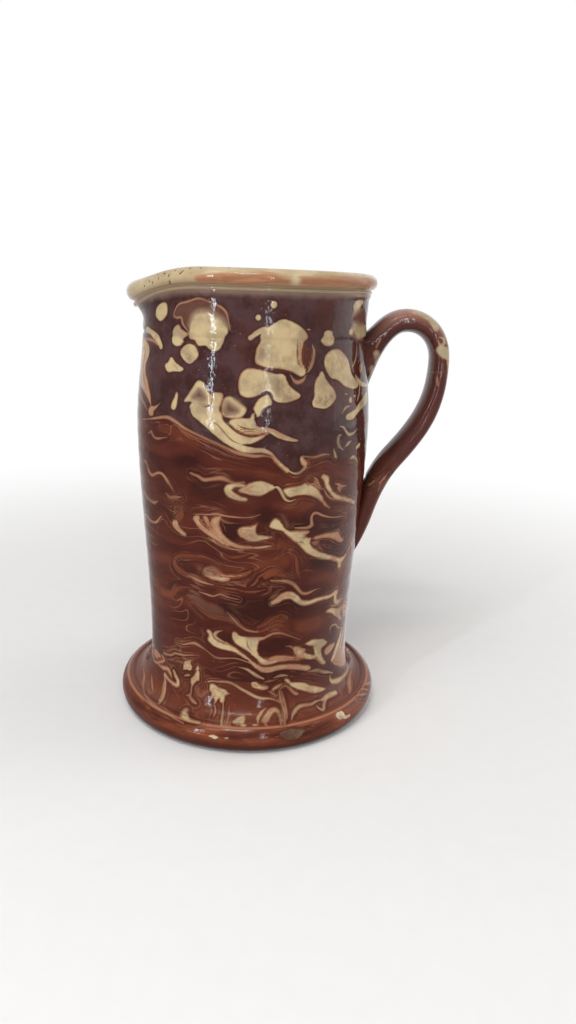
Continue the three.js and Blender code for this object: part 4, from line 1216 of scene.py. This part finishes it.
# Foot
foot = {
    "sweepTop": 40.0,
    "rollRadius": 71.0,
    "rollDepth": 6.5,
    "rollHalf": 7.75,
    "grooveRadius": 70.0,
    "grooveDepth": 1.0,
    "grooveHalf": 0.4,
    "grooveEdge": 1.0,  # from the sweep's end to the groove's middle
    "sweepBend": (59.2, 16.6),  # radius and height that the sweep bends towards
    "sweepRows": 52,
    "feather": 0.06,  # how far the sweep's top edge lies inside the wall
    "rollRows": 56,
    "innerRadius": 58.0,
    "underEdge": 3.0,  # from the roll's middle in to the flat underside
    "underRows": 6,
    "columns": 400,
    "frontPacking": 0.3,
    "seed": 5.0,
    "wobble": 0.25,
    "turnedLine": 0.14,  # depth of the fine lines on the roll
    "turnedLines": 19,
    "chipDepth": 0.45,
}

footBlobs = {
    "cream": [
        [(-41, 35), (-38.5, 36.5), (-36.5, 36.4), (-35, 37.5), (-35, 40.5), (-40, 40.5), (-40, 37.5)],
        [(-34.8, 30), (-34, 32), (-32.5, 33.5), (-31.3, 36), (-30.5, 38.3), (-29.8, 36.5), (-29.8, 32),
         (-31, 31), (-32.5, 29.5), (-33.6, 27.5), (-34.4, 28.5)],
        [(-22, 30.5), (-20, 31), (-17, 29.5), (-14.5, 29.2), (-12.5, 28.5), (-12, 26.8), (-13.5, 26),
         (-13, 24), (-14, 22.2), (-15.3, 22), (-15.8, 24), (-17, 23.5), (-18.3, 20.5), (-18.8, 22.5),
         (-19.3, 25), (-20.5, 22.5), (-21.2, 20.6), (-21.2, 23), (-20.6, 26.2), (-22, 28)],
        [(-34, 13), (-33, 14), (-32, 12), (-30.2, 10), (-29, 7.5), (-26, 6.2), (-22.5, 6), (-26, 5.3),
         (-29, 5.5), (-31.5, 6.3), (-33.2, 8.5), (-34, 11)],
        [(-7, 11.5), (-5.5, 13.8), (-3, 15.2), (-1.8, 15), (-1.6, 12.5), (-2, 10.5), (-4, 11),
         (-6.3, 10.7)],
        [(7, 12), (8, 14), (9.5, 16.5), (12, 18.5), (14.5, 19), (16.2, 18), (16.6, 16.6), (15.2, 17),
         (13.5, 16.5), (12, 15), (10.5, 12.5), (9.6, 11.2), (8, 11.2)],
        [(2, 33.5), (2.6, 35), (4.5, 34.2), (6.5, 32), (9.5, 31), (11, 30.5), (8.5, 29.8), (5, 30.5),
         (2.8, 31.5)],
        [(21.5, 34.3), (23.5, 33.5), (25, 31.5), (30, 30.4), (35, 28.6), (40, 26.4), (44, 24.4), (48, 22.4),
         (49.5, 21.6), (46, 21.3), (41, 22.2), (37, 23.8), (33, 25.8), (29, 27.8), (26, 29.5),
         (24.5, 31.5)],
    ],
    "tan": [
        [(58, 40), (60, 33), (66, 29), (74, 25), (82, 25), (86, 30), (82, 36), (72, 40)],
        [(-86, 33), (-80, 28), (-70, 27.5), (-62, 31), (-58, 34), (-62, 37), (-68, 39), (-78, 37)],
    ],
}
footTrails = {
    "cream": [
        [(-49, 31.5, 0.8), (-46.5, 29, 1), (-44.5, 26.8, 1.2), (-44.6, 24.6, 0.9), (-48, 24.2, 0.7),
         (-53, 25, 0.6), (-57, 26.2, 0.8)],
        [(55.5, 26.5, 0.6), (55.5, 24.5, 0.9), (57.5, 22.8, 1), (61, 21.8, 1.1), (66, 21, 0.8),
         (75, 20, 0.7), (85, 20.3, 0.7)],
        [(44, 16.6, 0.6), (50, 17.2, 1.2), (56, 16.5, 0.7)],
        [(-2, 8, 1.2)],
        [(3.6, 8.4, 1.2)],
        [(-4.6, 8, 0.8)],
    ],
    "pale": [
        [(13, 18.5, 0.8), (15.8, 17, 0.9), (16.8, 14.5, 0.8), (16.5, 11, 0.8), (15.6, 7, 0.7)],
        [(5, 11, 0.7), (5.3, 14, 0.8), (7, 17, 0.8), (9.5, 19.2, 0.6)],
        [(14, 29.3, 0.9), (16.5, 30.5, 0.8), (19, 31.8, 0.6)],
        [(18, 27.5, 0.8), (18.3, 24, 0.7), (19.2, 20, 0.7), (19.6, 16, 0.6), (18.8, 12, 0.6),
         (17.5, 7, 0.5)],
        [(22, 11, 0.8), (23.5, 13.5, 0.9), (26, 16, 0.9), (29, 17.5, 0.9), (33, 17.3, 0.8),
         (36.5, 16.8, 0.7), (40, 17.3, 0.6), (45, 17, 0.6)],
        [(39, 14.5, 0.8), (39.5, 12, 0.9), (41, 11, 0.7), (43, 13.5, 0.7), (46, 15.8, 0.7),
         (49.5, 16.8, 0.8)],
        [(2.5, 39.5, 0.7), (6, 37, 0.8), (9, 35.6, 0.7), (13, 35.3, 0.7), (17, 36.8, 0.8), (20, 37.3, 0.8),
         (23.5, 36.3, 0.6), (26, 35.3, 0.4)],
        [(30, 39, 0.8), (34, 37.5, 1.1), (39, 36, 1), (45, 34, 1), (50, 31.5, 1), (55, 29.5, 0.8),
         (58, 28, 0.8)],
        [(-66, 28.6, 0.9), (-60, 29.2, 1), (-55, 30.4, 1.1), (-52, 29, 1), (-50.3, 27.3, 0.8)],
        [(-57.5, 26, 1), (-55, 22.5, 1), (-52.5, 18, 0.8), (-50, 13, 0.7), (-48.5, 8.5, 0.5)],
        [(-14, 23, 0.5), (-13.3, 18, 0.5), (-12.8, 12, 0.6), (-12, 7, 0.6), (-10.8, 6, 0.6)],
        [(-10.2, 20, 0.4), (-9.8, 14, 0.5), (-10, 9, 0.7), (-9.3, 6, 0.5)],
        [(-23.5, 32.2, 0.7), (-21, 33, 0.5), (-17, 33.2, 0.5), (-12, 33.6, 0.6), (-8, 32.5, 0.7),
         (-4, 30.2, 0.7), (0, 28.2, 0.8), (4, 26, 0.8), (8, 24.8, 0.7), (12, 24.5, 0.6), (16, 23, 0.5),
         (19, 20.5, 0.4)],
        [(-36, 21.3, 0.6), (-34.3, 21.6, 0.7), (-33, 20.3, 0.6), (-31, 19.3, 0.7), (-29.3, 18.6, 0.6)],
        [(-11.5, 27.2, 0.6)],
        [(-9, 16.5, 0.6)],
    ],
    "tan": [
        [(19.5, 27, 0.6), (20.5, 22, 0.6), (20.8, 17, 0.6), (20, 12, 0.6)],
        [(18, 28, 0.6), (19.5, 30, 0.6), (22, 30.5, 0.6), (24.5, 28.5, 0.6), (26.5, 26, 0.7),
         (28.5, 24.6, 1), (29.3, 24.4, 0.6)],
        [(64, 11, 1), (68, 13, 1), (72, 15, 1.1), (78, 16.5, 1.1), (85, 16.8, 1.1)],
        [(12, 28.5, 0.4), (15, 26.3, 0.5), (16.5, 25.3, 0.3)],
        # painted highlight: a pink-orange line along the groove's edge on the left
        [(-85, 16, 1.1), (-80, 15.6, 1.1), (-76, 14.8, 1.1), (-70, 12.2, 0.9), (-64, 9.8, 0.8),
         (-58, 7.6, 0.8), (-52, 6.6, 0.9), (-46, 5.8, 0.7), (-38, 5, 0.6), (-30, 3.6, 0.7)],
        [(-60, 37, 1), (-56, 39, 0.8), (-50, 40, 0.6)],
        [(-56.5, 22, 0.6), (-54.5, 18.5, 0.6), (-51.5, 13.5, 0.6), (-49.5, 9, 0.4)],
        [(-71, 19.5, 0.6), (-66, 16.8, 0.7), (-60, 14, 0.5)],
        [(-36, 33, 0.6), (-38, 32.5, 0.5), (-40, 31.3, 0.4)],
        [(-34, 28, 0.5), (-34, 25, 0.4), (-33.5, 22, 0.4)],
        [(-8.2, 13, 0.4), (-8.5, 8, 0.5), (-7.5, 6, 0.5)],
        [(-18.2, 19.5, 0.5), (-17.3, 17, 0.4), (-17.5, 12.5, 0.4)],
        [(8.6, 11, 0.8), (8.4, 8.6, 0.8), (8.8, 7, 0.6)],
        [(64, 5.5, 0.5), (68, 3.5, 0.6), (72, 1.5, 0.5)],
        [(71, 5.5, 0.5), (75, 2.5, 0.5)],
        [(77, 5, 0.7), (82, 2.5, 0.9)],
    ],
}
footWear = {  # where the glaze of the roll is chipped or rubbed
    "cream": [
        [(43.8, 2.5), (44.5, 4.3), (48, 4.5), (49.3, 2.8), (49.5, 0.7), (52.5, 0.2), (53.5, -1), (51, -1.8),
         (48, -0.6), (45.5, -0.4), (44.5, 0.8)],
        [(-17.2, -0.4), (-15.5, 0.8), (-13.2, 0.6), (-11.8, -0.2), (-9.6, 0.4), (-7, 0.2), (-9.4, -0.8),
         (-12, -0.8), (-14.4, -1.2)],
    ],
    "tan": [
        [(14, 1.5), (16, 3), (19, 3.6), (23, 3.2), (26, 2), (27.5, 2.3), (29, 1.5), (26, 0.5), (24, -1.8),
         (21, -2.9), (18, -2.4), (15.5, -0.5)],
    ],
}

footLook = {
    "flange": rgb(0.263, 0.0739, 0.0381),
    "roll": rgb(0.215, 0.055, 0.0242),
    # the next colour also paints the shade on the roll's lower edge
    "rollDark": rgb(0.066, 0.016, 0.0098),
    # the next colour also paints the highlight glints on the roll
    "groove": rgb(0.388, 0.156, 0.0775),
    "underside": rgb(0.263, 0.104, 0.0537),
    "wear": rgb(0.688, 0.55, 0.362),
    "olive": rgb(0.163, 0.104, 0.06),
}


def footProfile():
    share = np.linspace(0, 1, foot["sweepRows"])[:, None]
    flat = 2 * foot["rollHalf"]
    middle = foot["grooveRadius"]
    inner = foot["innerRadius"]
    top = np.array([wall["stations"][0][1] - foot["feather"], foot["sweepTop"]])
    bend = np.array(foot["sweepBend"])
    edge = np.array([middle - foot["grooveEdge"], flat])
    sweep = (1 - share) ** 2 * top + 2 * share * (1 - share) * bend + share ** 2 * edge
    groove = [(middle + side * foot["grooveHalf"], flat - deep * foot["grooveDepth"])
              for side, deep in ((-1, 0.75), (0, 1), (1, 0.75))]
    turn = np.linspace(math.pi / 2, -math.pi / 2, foot["rollRows"])
    line = foot["turnedLine"] * np.sin(turn * foot["turnedLines"]) * np.cos(turn)
    roll = np.stack([foot["rollRadius"] + (foot["rollDepth"] - np.abs(line)) * np.cos(turn),
                     foot["rollHalf"] + foot["rollHalf"] * np.sin(turn)], 1)
    out = np.linspace(foot["rollRadius"] - foot["underEdge"], inner, foot["underRows"])
    under = np.stack([out, 0 * out], 1)
    outline = np.vstack([sweep, groove, roll, under, [[inner, foot["sweepTop"]]], sweep[:1]])
    up = foot["sweepTop"] - lengthAlong(outline)
    return stood(*outline.T)[::-1], up[::-1]


def footGlaze():
    material, graph = newMaterial("foot glaze")
    place = graph.add("ShaderNodeTexCoord", out="Object")
    up = graph.field("up")
    ground = redGround(graph, place, seed=20.0)
    flatter = graph.vector("MULTIPLY", place, (1.0, 1.0, 0.3))
    rings = graph.vector("ADD", flatter, graph.joined(0.0, 0.0, up * 0.006))
    turned = graph.noise(rings, 26.0, 4.0, 0.6, seed=21.0)
    roll = graph.mix(turned.ease(0.35, 0.65), footLook["rollDark"], footLook["roll"])
    # painted highlight: pale glints along the upper part of the roll, in the groove's colour
    glint = graph.noise(rings, 60.0, 4.0, 0.65, seed=27.0).ease(0.56, 0.68)
    glint = glint * (1 - abs(up - 1.5).ease(1.5, 5.0))
    roll = graph.mix(glint * 0.6, roll, footLook["groove"])
    ground = graph.mix((up + turned * 8).ease(36, 18) * 0.4, ground, footLook["flange"])
    ground = graph.mix((up + turned * 4).ease(9, 5), ground, roll)
    ground = graph.mix((1 - abs(up - 5.6).ease(0.3, 1.1)) * 0.8, ground, footLook["groove"])
    colour, blob = layered(graph, place, ground, marbled["redDark"])
    grimeAndUnderShade = graph.noise(place, 130.0, 4.0, 0.65, seed=22.0)
    # painted shade: the roll darkens towards its lower edge, where it curves under towards the floor
    colour = graph.mix((up + grimeAndUnderShade * 5).ease(2, -4), colour, footLook["rollDark"])
    rubbedAndSheen = graph.noise(place, 300.0, 4.0, 0.7, seed=23.0) - 0.5
    wear = (graph.field("wear") + rubbedAndSheen * 2.4).ease(0.0, 0.5)
    pale = graph.mix(graph.field("wearTone").ease(0.6, 0.9), footLook["olive"], footLook["wear"])
    pale = graph.mix(grimeAndUnderShade.ease(0.4, 0.6) * 0.7, pale, footLook["rollDark"])
    colour = graph.mix(wear * 0.9, colour, pale)
    # pale flecks along the middle of the roll, fewer away from it
    paleRollFlecks = (graph.noise(place, 230.0, 3.0, 0.7, seed=24.0) - abs(up + 1.0) * 0.016).ease(0.66, 0.70)
    colour = graph.mix(paleRollFlecks * 0.8, colour, footLook["wear"])
    below = up.ease(-15.5, -16.5)
    colour = graph.mix(below, colour, footLook["underside"])
    roughness = 0.06 + turned * 0.09 + wear * 0.4 + below * 0.5
    glazed(graph, colour, roughness, glazeSkin(graph, place) + slipStep(blob))
    return material


def makeFoot():
    piece = wheelMade("turned_foot", *footProfile(), foot, footGlaze(), noLip)
    level = heldField(piece, "up")
    across = unroll(corners(piece))[0]
    fields = drawSlip(across, level, footTrails, footBlobs)
    worn = drawSlip(across, level, {}, footWear)
    fields["wear"] = worn["blob"]
    fields["wearTone"] = worn["blobTone"]
    keepFields(piece, fields)
    pressIn(piece, foot["chipDepth"] * ease((fields["wear"] + 0.3) / 1.2))
    dress(piece, "foot_glaze", "foot_flange")


makeFoot()


# Rolled rim
rim = {
    "middle": 60.1,
    "halfWidth": 5.5,
    "columns": 460,
    "frontPacking": 0.3,
    "seed": 7.0,
    "wobble": 0.3,
    "beadRows": 64,
    "undercut": 50.0,  # degrees that the bead goes on under its widest line
    "beadRise": 2.2,  # of the bead's lower edge over the wall
    "seatDrop": 0.4,  # how far the rim sits down into the wall
    "collarRadius": 63.0,
    "collarRound": 0.55,
    "collarHalf": 1.2,
    "collarRise": 0.6,
    "collarStretch": 0.95,
    "collarRows": 9,
    "insideStep": 0.2,  # from the bead's inner end out to the inside, which then slants to its seat
    "insideRise": 1.0,
    "insideSlant": 0.6,
    "swell": 0.34,  # of the bead at the tip of the lip
    "swellHeight": 245.0,
    "nickDepth": 0.45,
    "nicks": [(-63.6, 243.3, 0.9), (-58.5, 244.6, 0.6), (-55.6, 243.5, 0.9), (-50.8, 245, 1.1),
              (-46.5, 246.4, 0.7), (-43.6, 245, 1), (-36, 246.1, 1.7), (-43.5, 241.4, 1.9),
              (-52.3, 246.9, 0.7), (-47.9, 247.3, 0.8), (-40.5, 247.6, 0.6), (-32.4, 248.7, 1),
              (-26.8, 249.1, 0.9), (-13.4, 250.5, 1.2), (4, 250.4, 0.6), (26.8, 251, 0.8), (41, 249.9, 1),
              (56, 250, 1.3), (63, 248.6, 0.7)],
}

rimMarks = {
    "rust": [
        [(-27, 242.4, 1.8), (-18, 242.8, 2.4), (-6, 243.2, 2.9), (6, 243.2, 2.9), (14, 242.6, 2)],
        [(21.5, 243, 2.2), (30, 243.2, 2.6), (45, 243.4, 2.6), (61, 243.6, 2.4), (80, 244, 1.6)],
    ],
}

rimLook = {
    "cream": rgb(0.414, 0.3, 0.17),
    "creamPale": rgb(0.528, 0.42, 0.258),
    # the next colour is painted shade on the bead's lower part, and also the collar's streaks
    "olive": rgb(0.3, 0.222, 0.126),
    # the next colour is partly thin glaze on the collar's ridge and partly painted light on it
    "collar": rgb(0.288, 0.198, 0.138),
    "stain": rgb(0.36, 0.146, 0.0672),
    "stainDeep": rgb(0.252, 0.0816, 0.0384),
    # the next colour is painted shade in the groove under the bead
    "underEdge": rgb(0.264, 0.126, 0.066),
    "nick": rgb(0.036, 0.0192, 0.0144),
}


def rimProfile():
    undercut = math.radians(rim["undercut"])
    top = cadBox[1].z / mm
    half = (top - wallTop - rim["beadRise"]) / (1 + math.sin(undercut))
    turn = np.linspace(-undercut, math.pi + undercut, rim["beadRows"])
    bead = np.stack([rim["middle"] + rim["halfWidth"] * np.cos(turn), top - half * (1 - np.sin(turn))], 1)
    seat = wallTop - rim["seatDrop"]
    bulge = np.linspace(-rim["collarHalf"], rim["collarHalf"], rim["collarRows"])
    collar = np.stack([rim["collarRadius"] - rim["collarRound"] * bulge ** 2,
                       wallTop + rim["collarRise"] + bulge * rim["collarStretch"]], 1)
    inside = bead[-1, 0] + rim["insideStep"]
    mouth = [[inside, wallTop + rim["insideRise"]], [inside + rim["insideSlant"], seat]]
    under = [[rim["middle"], seat], [rim["collarRadius"] - rim["collarHalf"], seat]]
    outline = np.vstack([under, collar, bead, mouth, under[:1]])
    length = lengthAlong(outline)
    start = length[len(under) + len(collar)]
    return stood(*outline.T), length - start + wallTop


def rimGlaze():
    material, graph = newMaterial("rim glaze")
    place = graph.add("ShaderNodeTexCoord", out="Object")
    up = graph.field("up")
    cloud = graph.noise(place, 55.0, 4.0, 0.6, seed=31.0)
    streaks = graph.noise(graph.vector("MULTIPLY", place, (1.0, 1.0, 7.0)), 60.0, 4.0, 0.6, 0.4, seed=32.0)
    colour = graph.mix(cloud.ease(0.35, 0.65), rimLook["cream"], rimLook["creamPale"])
    # painted shade: the lower part of the bead turns olive, where it faces down
    colour = graph.mix((up + cloud * 3 - wallTop).ease(5.0, 1.5) * 0.7, colour, rimLook["olive"])
    stain = (graph.field("blob") + (streaks - 0.5) * 6.5 + (cloud - 0.5) * 4).ease(-1.6, 1.6)
    rust = graph.mix(streaks.ease(0.4, 0.62), rimLook["stainDeep"], rimLook["stain"])
    colour = graph.mix(stain * 0.86, colour, rust)
    # painted shade: a dark brown band along the bead's lower edge, where the groove under it is in shade
    colour = graph.mix((up - wallTop).ease(1.4, 0.2) * 0.75, colour, rimLook["underEdge"])
    # the collar under the bead: partly pale where the glaze is thin on its ridge and partly painted light on
    # the ridge
    collar = graph.mix(streaks.ease(0.4, 0.6), rimLook["collar"], rimLook["olive"])
    colour = graph.mix((up - wallTop).ease(-0.3, -0.9), colour, collar)
    speck = graph.noise(place, 420.0, 2.0, 0.6, seed=33.0).ease(0.68, 0.74)
    colour = graph.mix(speck * 0.5, colour, rimLook["stainDeep"])
    nick = (graph.field("nick") + (graph.noise(place, 700.0, 2.0, seed=34.0) - 0.5) * 0.5).ease(-0.15, 0.15)
    colour = graph.mix(nick, colour, rimLook["nick"])
    roughness = 0.07 + streaks * 0.09 + nick * 0.5
    glazed(graph, colour, roughness, glazeSkin(graph, place))
    return material


def makeRim():
    pull = {**lip, "Swell": rim["swell"], "Swell Radius": rim["middle"] * mm}
    pull["Swell Height"] = rim["swellHeight"] * mm
    piece = wheelMade("rolled_rim", *rimProfile(), rim, rimGlaze(), pull)
    level = heldField(piece, "up")
    across = unroll(corners(piece))[0]
    fields = drawSlip(across, level, rimMarks)
    nicks = []
    for side, height, size in rim["nicks"]:
        lean = 0.4 * size * math.sin(side)
        nicks.append([(side - lean, height - 0.5 * size, 0.4), (side + lean, height + 0.5 * size, 0.3)])
    fields["nick"] = -drawSlip(across, level, {"dark": nicks})["gate"]
    keepFields(piece, fields)
    pressIn(piece, rim["nickDepth"] * ease((fields["nick"] + 0.5) / 0.8))
    dress(piece, "rim_glaze", "rim_roll")


makeRim()


# Handle
strap = {
    "rootDrop": 34.0,  # below the wall's top edge, as the next drops
    "crownDrop": 13.3,
    "crownReach": 19.2,  # out from the belly, as the next reaches
    "reach": 38.5,
    "reachDrop": 35.3,
    "jointDrop": 90.0,
    "jointReach": 16.2,
    "tailLength": 58.6,
    "headings": [16.6, 0.0, -90.0, -129.6, -111.0],  # degrees from level at the five places
    "fullness": 0.4,
    "thickness": [47.6, 12.4, 10.2, 12.5, 5.0],
    "width": [34.0, 23.0, 23.0, 24.0, 11.0],
    "rootFillet": 5.8,  # how sharply the root thins
    "tailHold": 2.7,  # how long the tail keeps its thickness
    "bury": 8.0,
    "hidden": 3.0,  # how far inside the wall the hidden clay ends
    "step": 1.2,
    "curveRows": 200,
    "around": 96,
    "roundness": 2.5,
    "ridgeDepth": 0.012,
    "ridges": 6.0,
    "wobble": 0.5,
    "seed": 9.0,
    "farShift": (2.5, 23.0),  # how far out the far side's marks move, and over what height
    "farLift": (6.0, 17.0),  # and how far up
    "creaseDepth": 0.7,
    "creaseHalf": 0.8,
}

strapMarks = {  # as seen from the side: out from the axis, up, half width
    "cream": [
        [(84.9, 231.2, 0.7), (89.3, 230.8, 1.3), (93.3, 229.4, 1.5), (96.5, 228.2, 0.9)],
        [(95.7, 226.8, 1.2), (97.6, 225.2, 1.6), (98.2, 223.1, 1.2)],
        [(101.8, 211.7, 2.2), (103.7, 210.5, 2.8), (106.5, 209.2, 2.6)],
        [(106.6, 205.8, 1.1), (107.3, 200.1, 0.6)],
        [(66.3, 208.9, 1.6), (67.3, 206.8, 1.5), (67, 204.6, 0.9)],
        [(64.3, 201.1, 1.2), (64.5, 198.9, 0.8)],
        [(100.6, 218.6, 0.7), (103, 217.8, 0.8), (103.4, 215.2, 0.8), (101, 214.6, 0.8), (100, 216.6, 0.6)],
    ],
    "tan": [
        [(101, 196.5, 0.8), (101.7, 193, 0.7)],
        [(68, 216.3, 0.6), (66.1, 212.4, 0.6)],
        [(77, 141.2, 0.6), (75, 138.3, 0.7), (72.4, 136, 0.5)],
        [(69.5, 137.1, 0.6), (67, 134.2, 0.5)],
        [(74.4, 139.2, 0.5), (73.5, 135.5, 0.5), (72.2, 130.9, 0.4)],
        [(60.2, 108, 0.6), (58.2, 101.6, 0.7), (56.9, 95.6, 0.5)],
    ],
}
pressedCrease = [[(79.5, 142.6, 0.6), (75.6, 139.6, 0.7), (71, 137.2, 0.6), (66.5, 136, 0.5)]]

strapLook = {
    "dark": rgb(0.05, 0.0195, 0.0175),
    "red": rgb(0.088, 0.027, 0.0205),
    "redLight": rgb(0.125, 0.04, 0.027),
    "worn": rgb(0.27, 0.24, 0.185),
    "streak": rgb(0.19, 0.08, 0.05),
    "rubbedAndSheen": rgb(0.36, 0.18, 0.14),
# the next colour is a painted sheen on the top of the handle's arch
}


def strapLine():
    belly = wall["stations"][1][1]
    tailUp = wallTop - strap["jointDrop"] - strap["tailLength"]
    rootUp = wallTop - strap["rootDrop"]
    places = np.array([
        (wallRadius(rootUp) - strap["bury"], rootUp),
        (belly + strap["crownReach"], wallTop - strap["crownDrop"]),
        (belly + strap["reach"], wallTop - strap["reachDrop"]),
        (belly + strap["jointReach"], wallTop - strap["jointDrop"]),
        (wallRadius(tailUp) - strap["thickness"][-1] / 2, tailUp),
    ])
    turn = np.radians(strap["headings"])
    heading = np.stack([np.cos(turn), np.sin(turn)], 1)
    share = np.linspace(0, 1, strap["curveRows"])
    points, thick, wide = [], [], []
    for i in range(4):
        hold = np.linalg.norm(places[i + 1] - places[i]) * strap["fullness"]
        leave = places[i] + heading[i] * hold
        arrive = places[i + 1] - heading[i + 1] * hold
        t = share[:, None]
        bend = (1 - t) ** 3 * places[i] + 3 * t * (1 - t) ** 2 * leave
        bend = bend + 3 * t ** 2 * (1 - t) * arrive + t ** 3 * places[i + 1]
        run = lengthAlong(bend)
        way = run / run[-1]
        blend = [1 - (1 - way) ** strap["rootFillet"], ease(way), ease(way), way ** strap["tailHold"]][i]
        points.append(bend)
        thick.append(strap["thickness"][i] + (strap["thickness"][i + 1] - strap["thickness"][i]) * blend)
        wide.append(strap["width"][i] + (strap["width"][i + 1] - strap["width"][i]) * blend)
    points, thick, wide = np.vstack(points), np.concatenate(thick), np.concatenate(wide)
    along = lengthAlong(points)
    even = np.arange(0, along[-1], strap["step"])
    x, z, thick, wide = (np.interp(even, along, v) for v in (points[:, 0], points[:, 1], thick, wide))
    slope = np.gradient(np.stack([x, z], 1), axis=0)
    slope /= np.linalg.norm(slope, axis=1)[:, None]
    inward = stood(slope[:, 1], -slope[:, 0])  # towards the finger opening
    ends = [0, *range(len(even)), len(even) - 1]  # the end points come twice, the outer time with no size
    closed = np.ones(len(ends))
    closed[[0, -1]] = 0
    return stood(x, z)[ends], {"inward": inward[ends], "along": even[ends],
                               "thick": thick[ends] / 2 * mm * closed, "wide": wide[ends] / 2 * mm * closed}


def strapGlaze():
    material, graph = newMaterial("handle glaze")
    place = graph.add("ShaderNodeTexCoord", out="Object")
    along = graph.field("along")
    thickSide = graph.field("thickSide")
    pulled = graph.joined(thickSide, graph.field("wideSide"), along * 0.05)
    streaks = graph.noise(pulled, 0.32, 4.0, 0.62, 0.2, seed=41.0)
    cloud = graph.noise(place, 42.0, 3.0, 0.55, seed=42.0)
    stops = [(0.34, strapLook["dark"]), (0.5, strapLook["red"]), (0.64, strapLook["redLight"]),
             (0.8, strapLook["streak"])]
    ground = graph.ramp(streaks * 0.6 + cloud * 0.4, stops)
    crownSheen = along.ease(10.0, 32.0) * (1 - along.ease(48.0, 74.0)) * (1 - thickSide.ease(-5.0, 1.5))
    rubbedAndSheen = crownSheen * (0.5 + streaks * 0.6)  # painted sheen: the top of the arch lighter, where the room's light falls on it
    ground = graph.mix(rubbedAndSheen, ground, strapLook["rubbedAndSheen"])
    # painted light: the tail turns lighter red towards its end, as if lit from the right and behind
    ground = graph.mix(along.ease(128.0, 152.0) * (0.2 + cloud * 0.8), ground, strapLook["redLight"])
    colour, blob = layered(graph, place, ground, strapLook["dark"])
    colour = graph.mix(blob.ease(0.0, 0.8) * 0.55, colour, strapLook["worn"])
    roughness = 0.07 + cloud * 0.08
    height = glazeSkin(graph, place) + slipStep(blob) + streaks * 0.06
    glazed(graph, colour, roughness, height)
    return material


def makeStrap():
    line, fields = strapLine()
    sizes = {"Around": strap["around"], "Seed": strap["seed"], "Roundness": strap["roundness"]}
    sizes.update({"Ridge Depth": strap["ridgeDepth"], "Ridges": strap["ridges"]})
    sizes.update({"Wobble": strap["wobble"] * mm, "Glaze": strapGlaze()})
    piece = shaped("strap_handle", pulledTree(), lineMesh(line, fields), sizes)
    spots = corners(piece)
    inside = np.sqrt((wallRadius(spots[:, 2]) - strap["hidden"]) ** 2 - spots[:, 1] ** 2)
    spots[:, 0] = np.maximum(spots[:, 0], inside)  # the joint's clay ends inside the wall
    moveTo(piece, spots)
    farSide = spots[:, 1] > 0  # its marks are the near side's, shifted
    moves = (strap["farShift"], strap["farLift"])
    shift, lift = (far * np.sin(spots[:, 2] / height) for far, height in moves)
    away = spots[:, 0] + np.where(farSide, shift, 0)
    level = spots[:, 2] + np.where(farSide, lift, 0)
    keepFields(piece, drawSlip(away, level, strapMarks))
    crease = drawSlip(spots[:, 0], spots[:, 2], {"dark": pressedCrease})["gate"]
    pressIn(piece, strap["creaseDepth"] * np.exp(-(np.maximum(crease, 0) / strap["creaseHalf"]) ** 2))
    dress(piece, "handle_glaze", "handle_root", "handle_strap", "handle_tail")


makeStrap()


# Floor of the jug
slab = {
    "radius": 58.7,
    "spiralRipple": 0.5,
    "ripplePitch": 7.0,
    "rippleEdge": 50.0,  # radius where the ripple starts
    "rippleFade": 8.0,
    "turnedLine": 0.12,
    "linePitch": 3.1,
    "lineFade": 6.0,
    "rows": 46,
    "columns": 128,
    "frontPacking": 0.0,
    "seed": 1.0,
    "wobble": 0.0,
}
slabLook = {
    "clay": rgb(0.36, 0.154, 0.0816),
    "clayDark": rgb(0.228, 0.0864, 0.0432),
    "grit": rgb(0.504, 0.324, 0.204),
}


def bareClay():
    material, graph = newMaterial("bare clay")
    place = graph.add("ShaderNodeTexCoord", out="Object")
    inside = graph.field("up").ease(3.0, 5.0)
    cloud = graph.noise(place, 48.0, 4.0, 0.6, seed=51.0)
    grit = graph.noise(place, 700.0, 3.0, 0.7, seed=52.0)
    clay = graph.mix(cloud, slabLook["clayDark"], slabLook["clay"])
    clay = graph.mix(grit.ease(0.62, 0.72) * 0.6, clay, slabLook["grit"])
    colour = graph.mix(inside, clay, creamLining(graph, place))
    glazed(graph, colour, 0.85 - inside * 0.68, grit * 0.08 * (1 - inside))
    return material


def makeSlab():
    out = np.linspace(0, slab["radius"], slab["rows"])
    ringed = slab["turnedLine"] * (np.sin(out * math.tau / slab["linePitch"]) - 1)
    ringed *= ease(out / slab["lineFade"])
    back = np.linspace(slab["radius"], 0, slab["rows"])
    thrown = slab["spiralRipple"] * (np.sin(back * math.tau / slab["ripplePitch"]) - 1)
    thrown *= ease((slab["rippleEdge"] - back) / slab["rippleFade"])
    points = np.vstack([stood(out, -ringed), stood(back, floorTop + thrown)])
    piece = wheelMade("thrown_floor", points, points[:, 2], slab, bareClay(), noLip)
    dress(piece, "bare_clay", "floor_slab")


makeSlab()
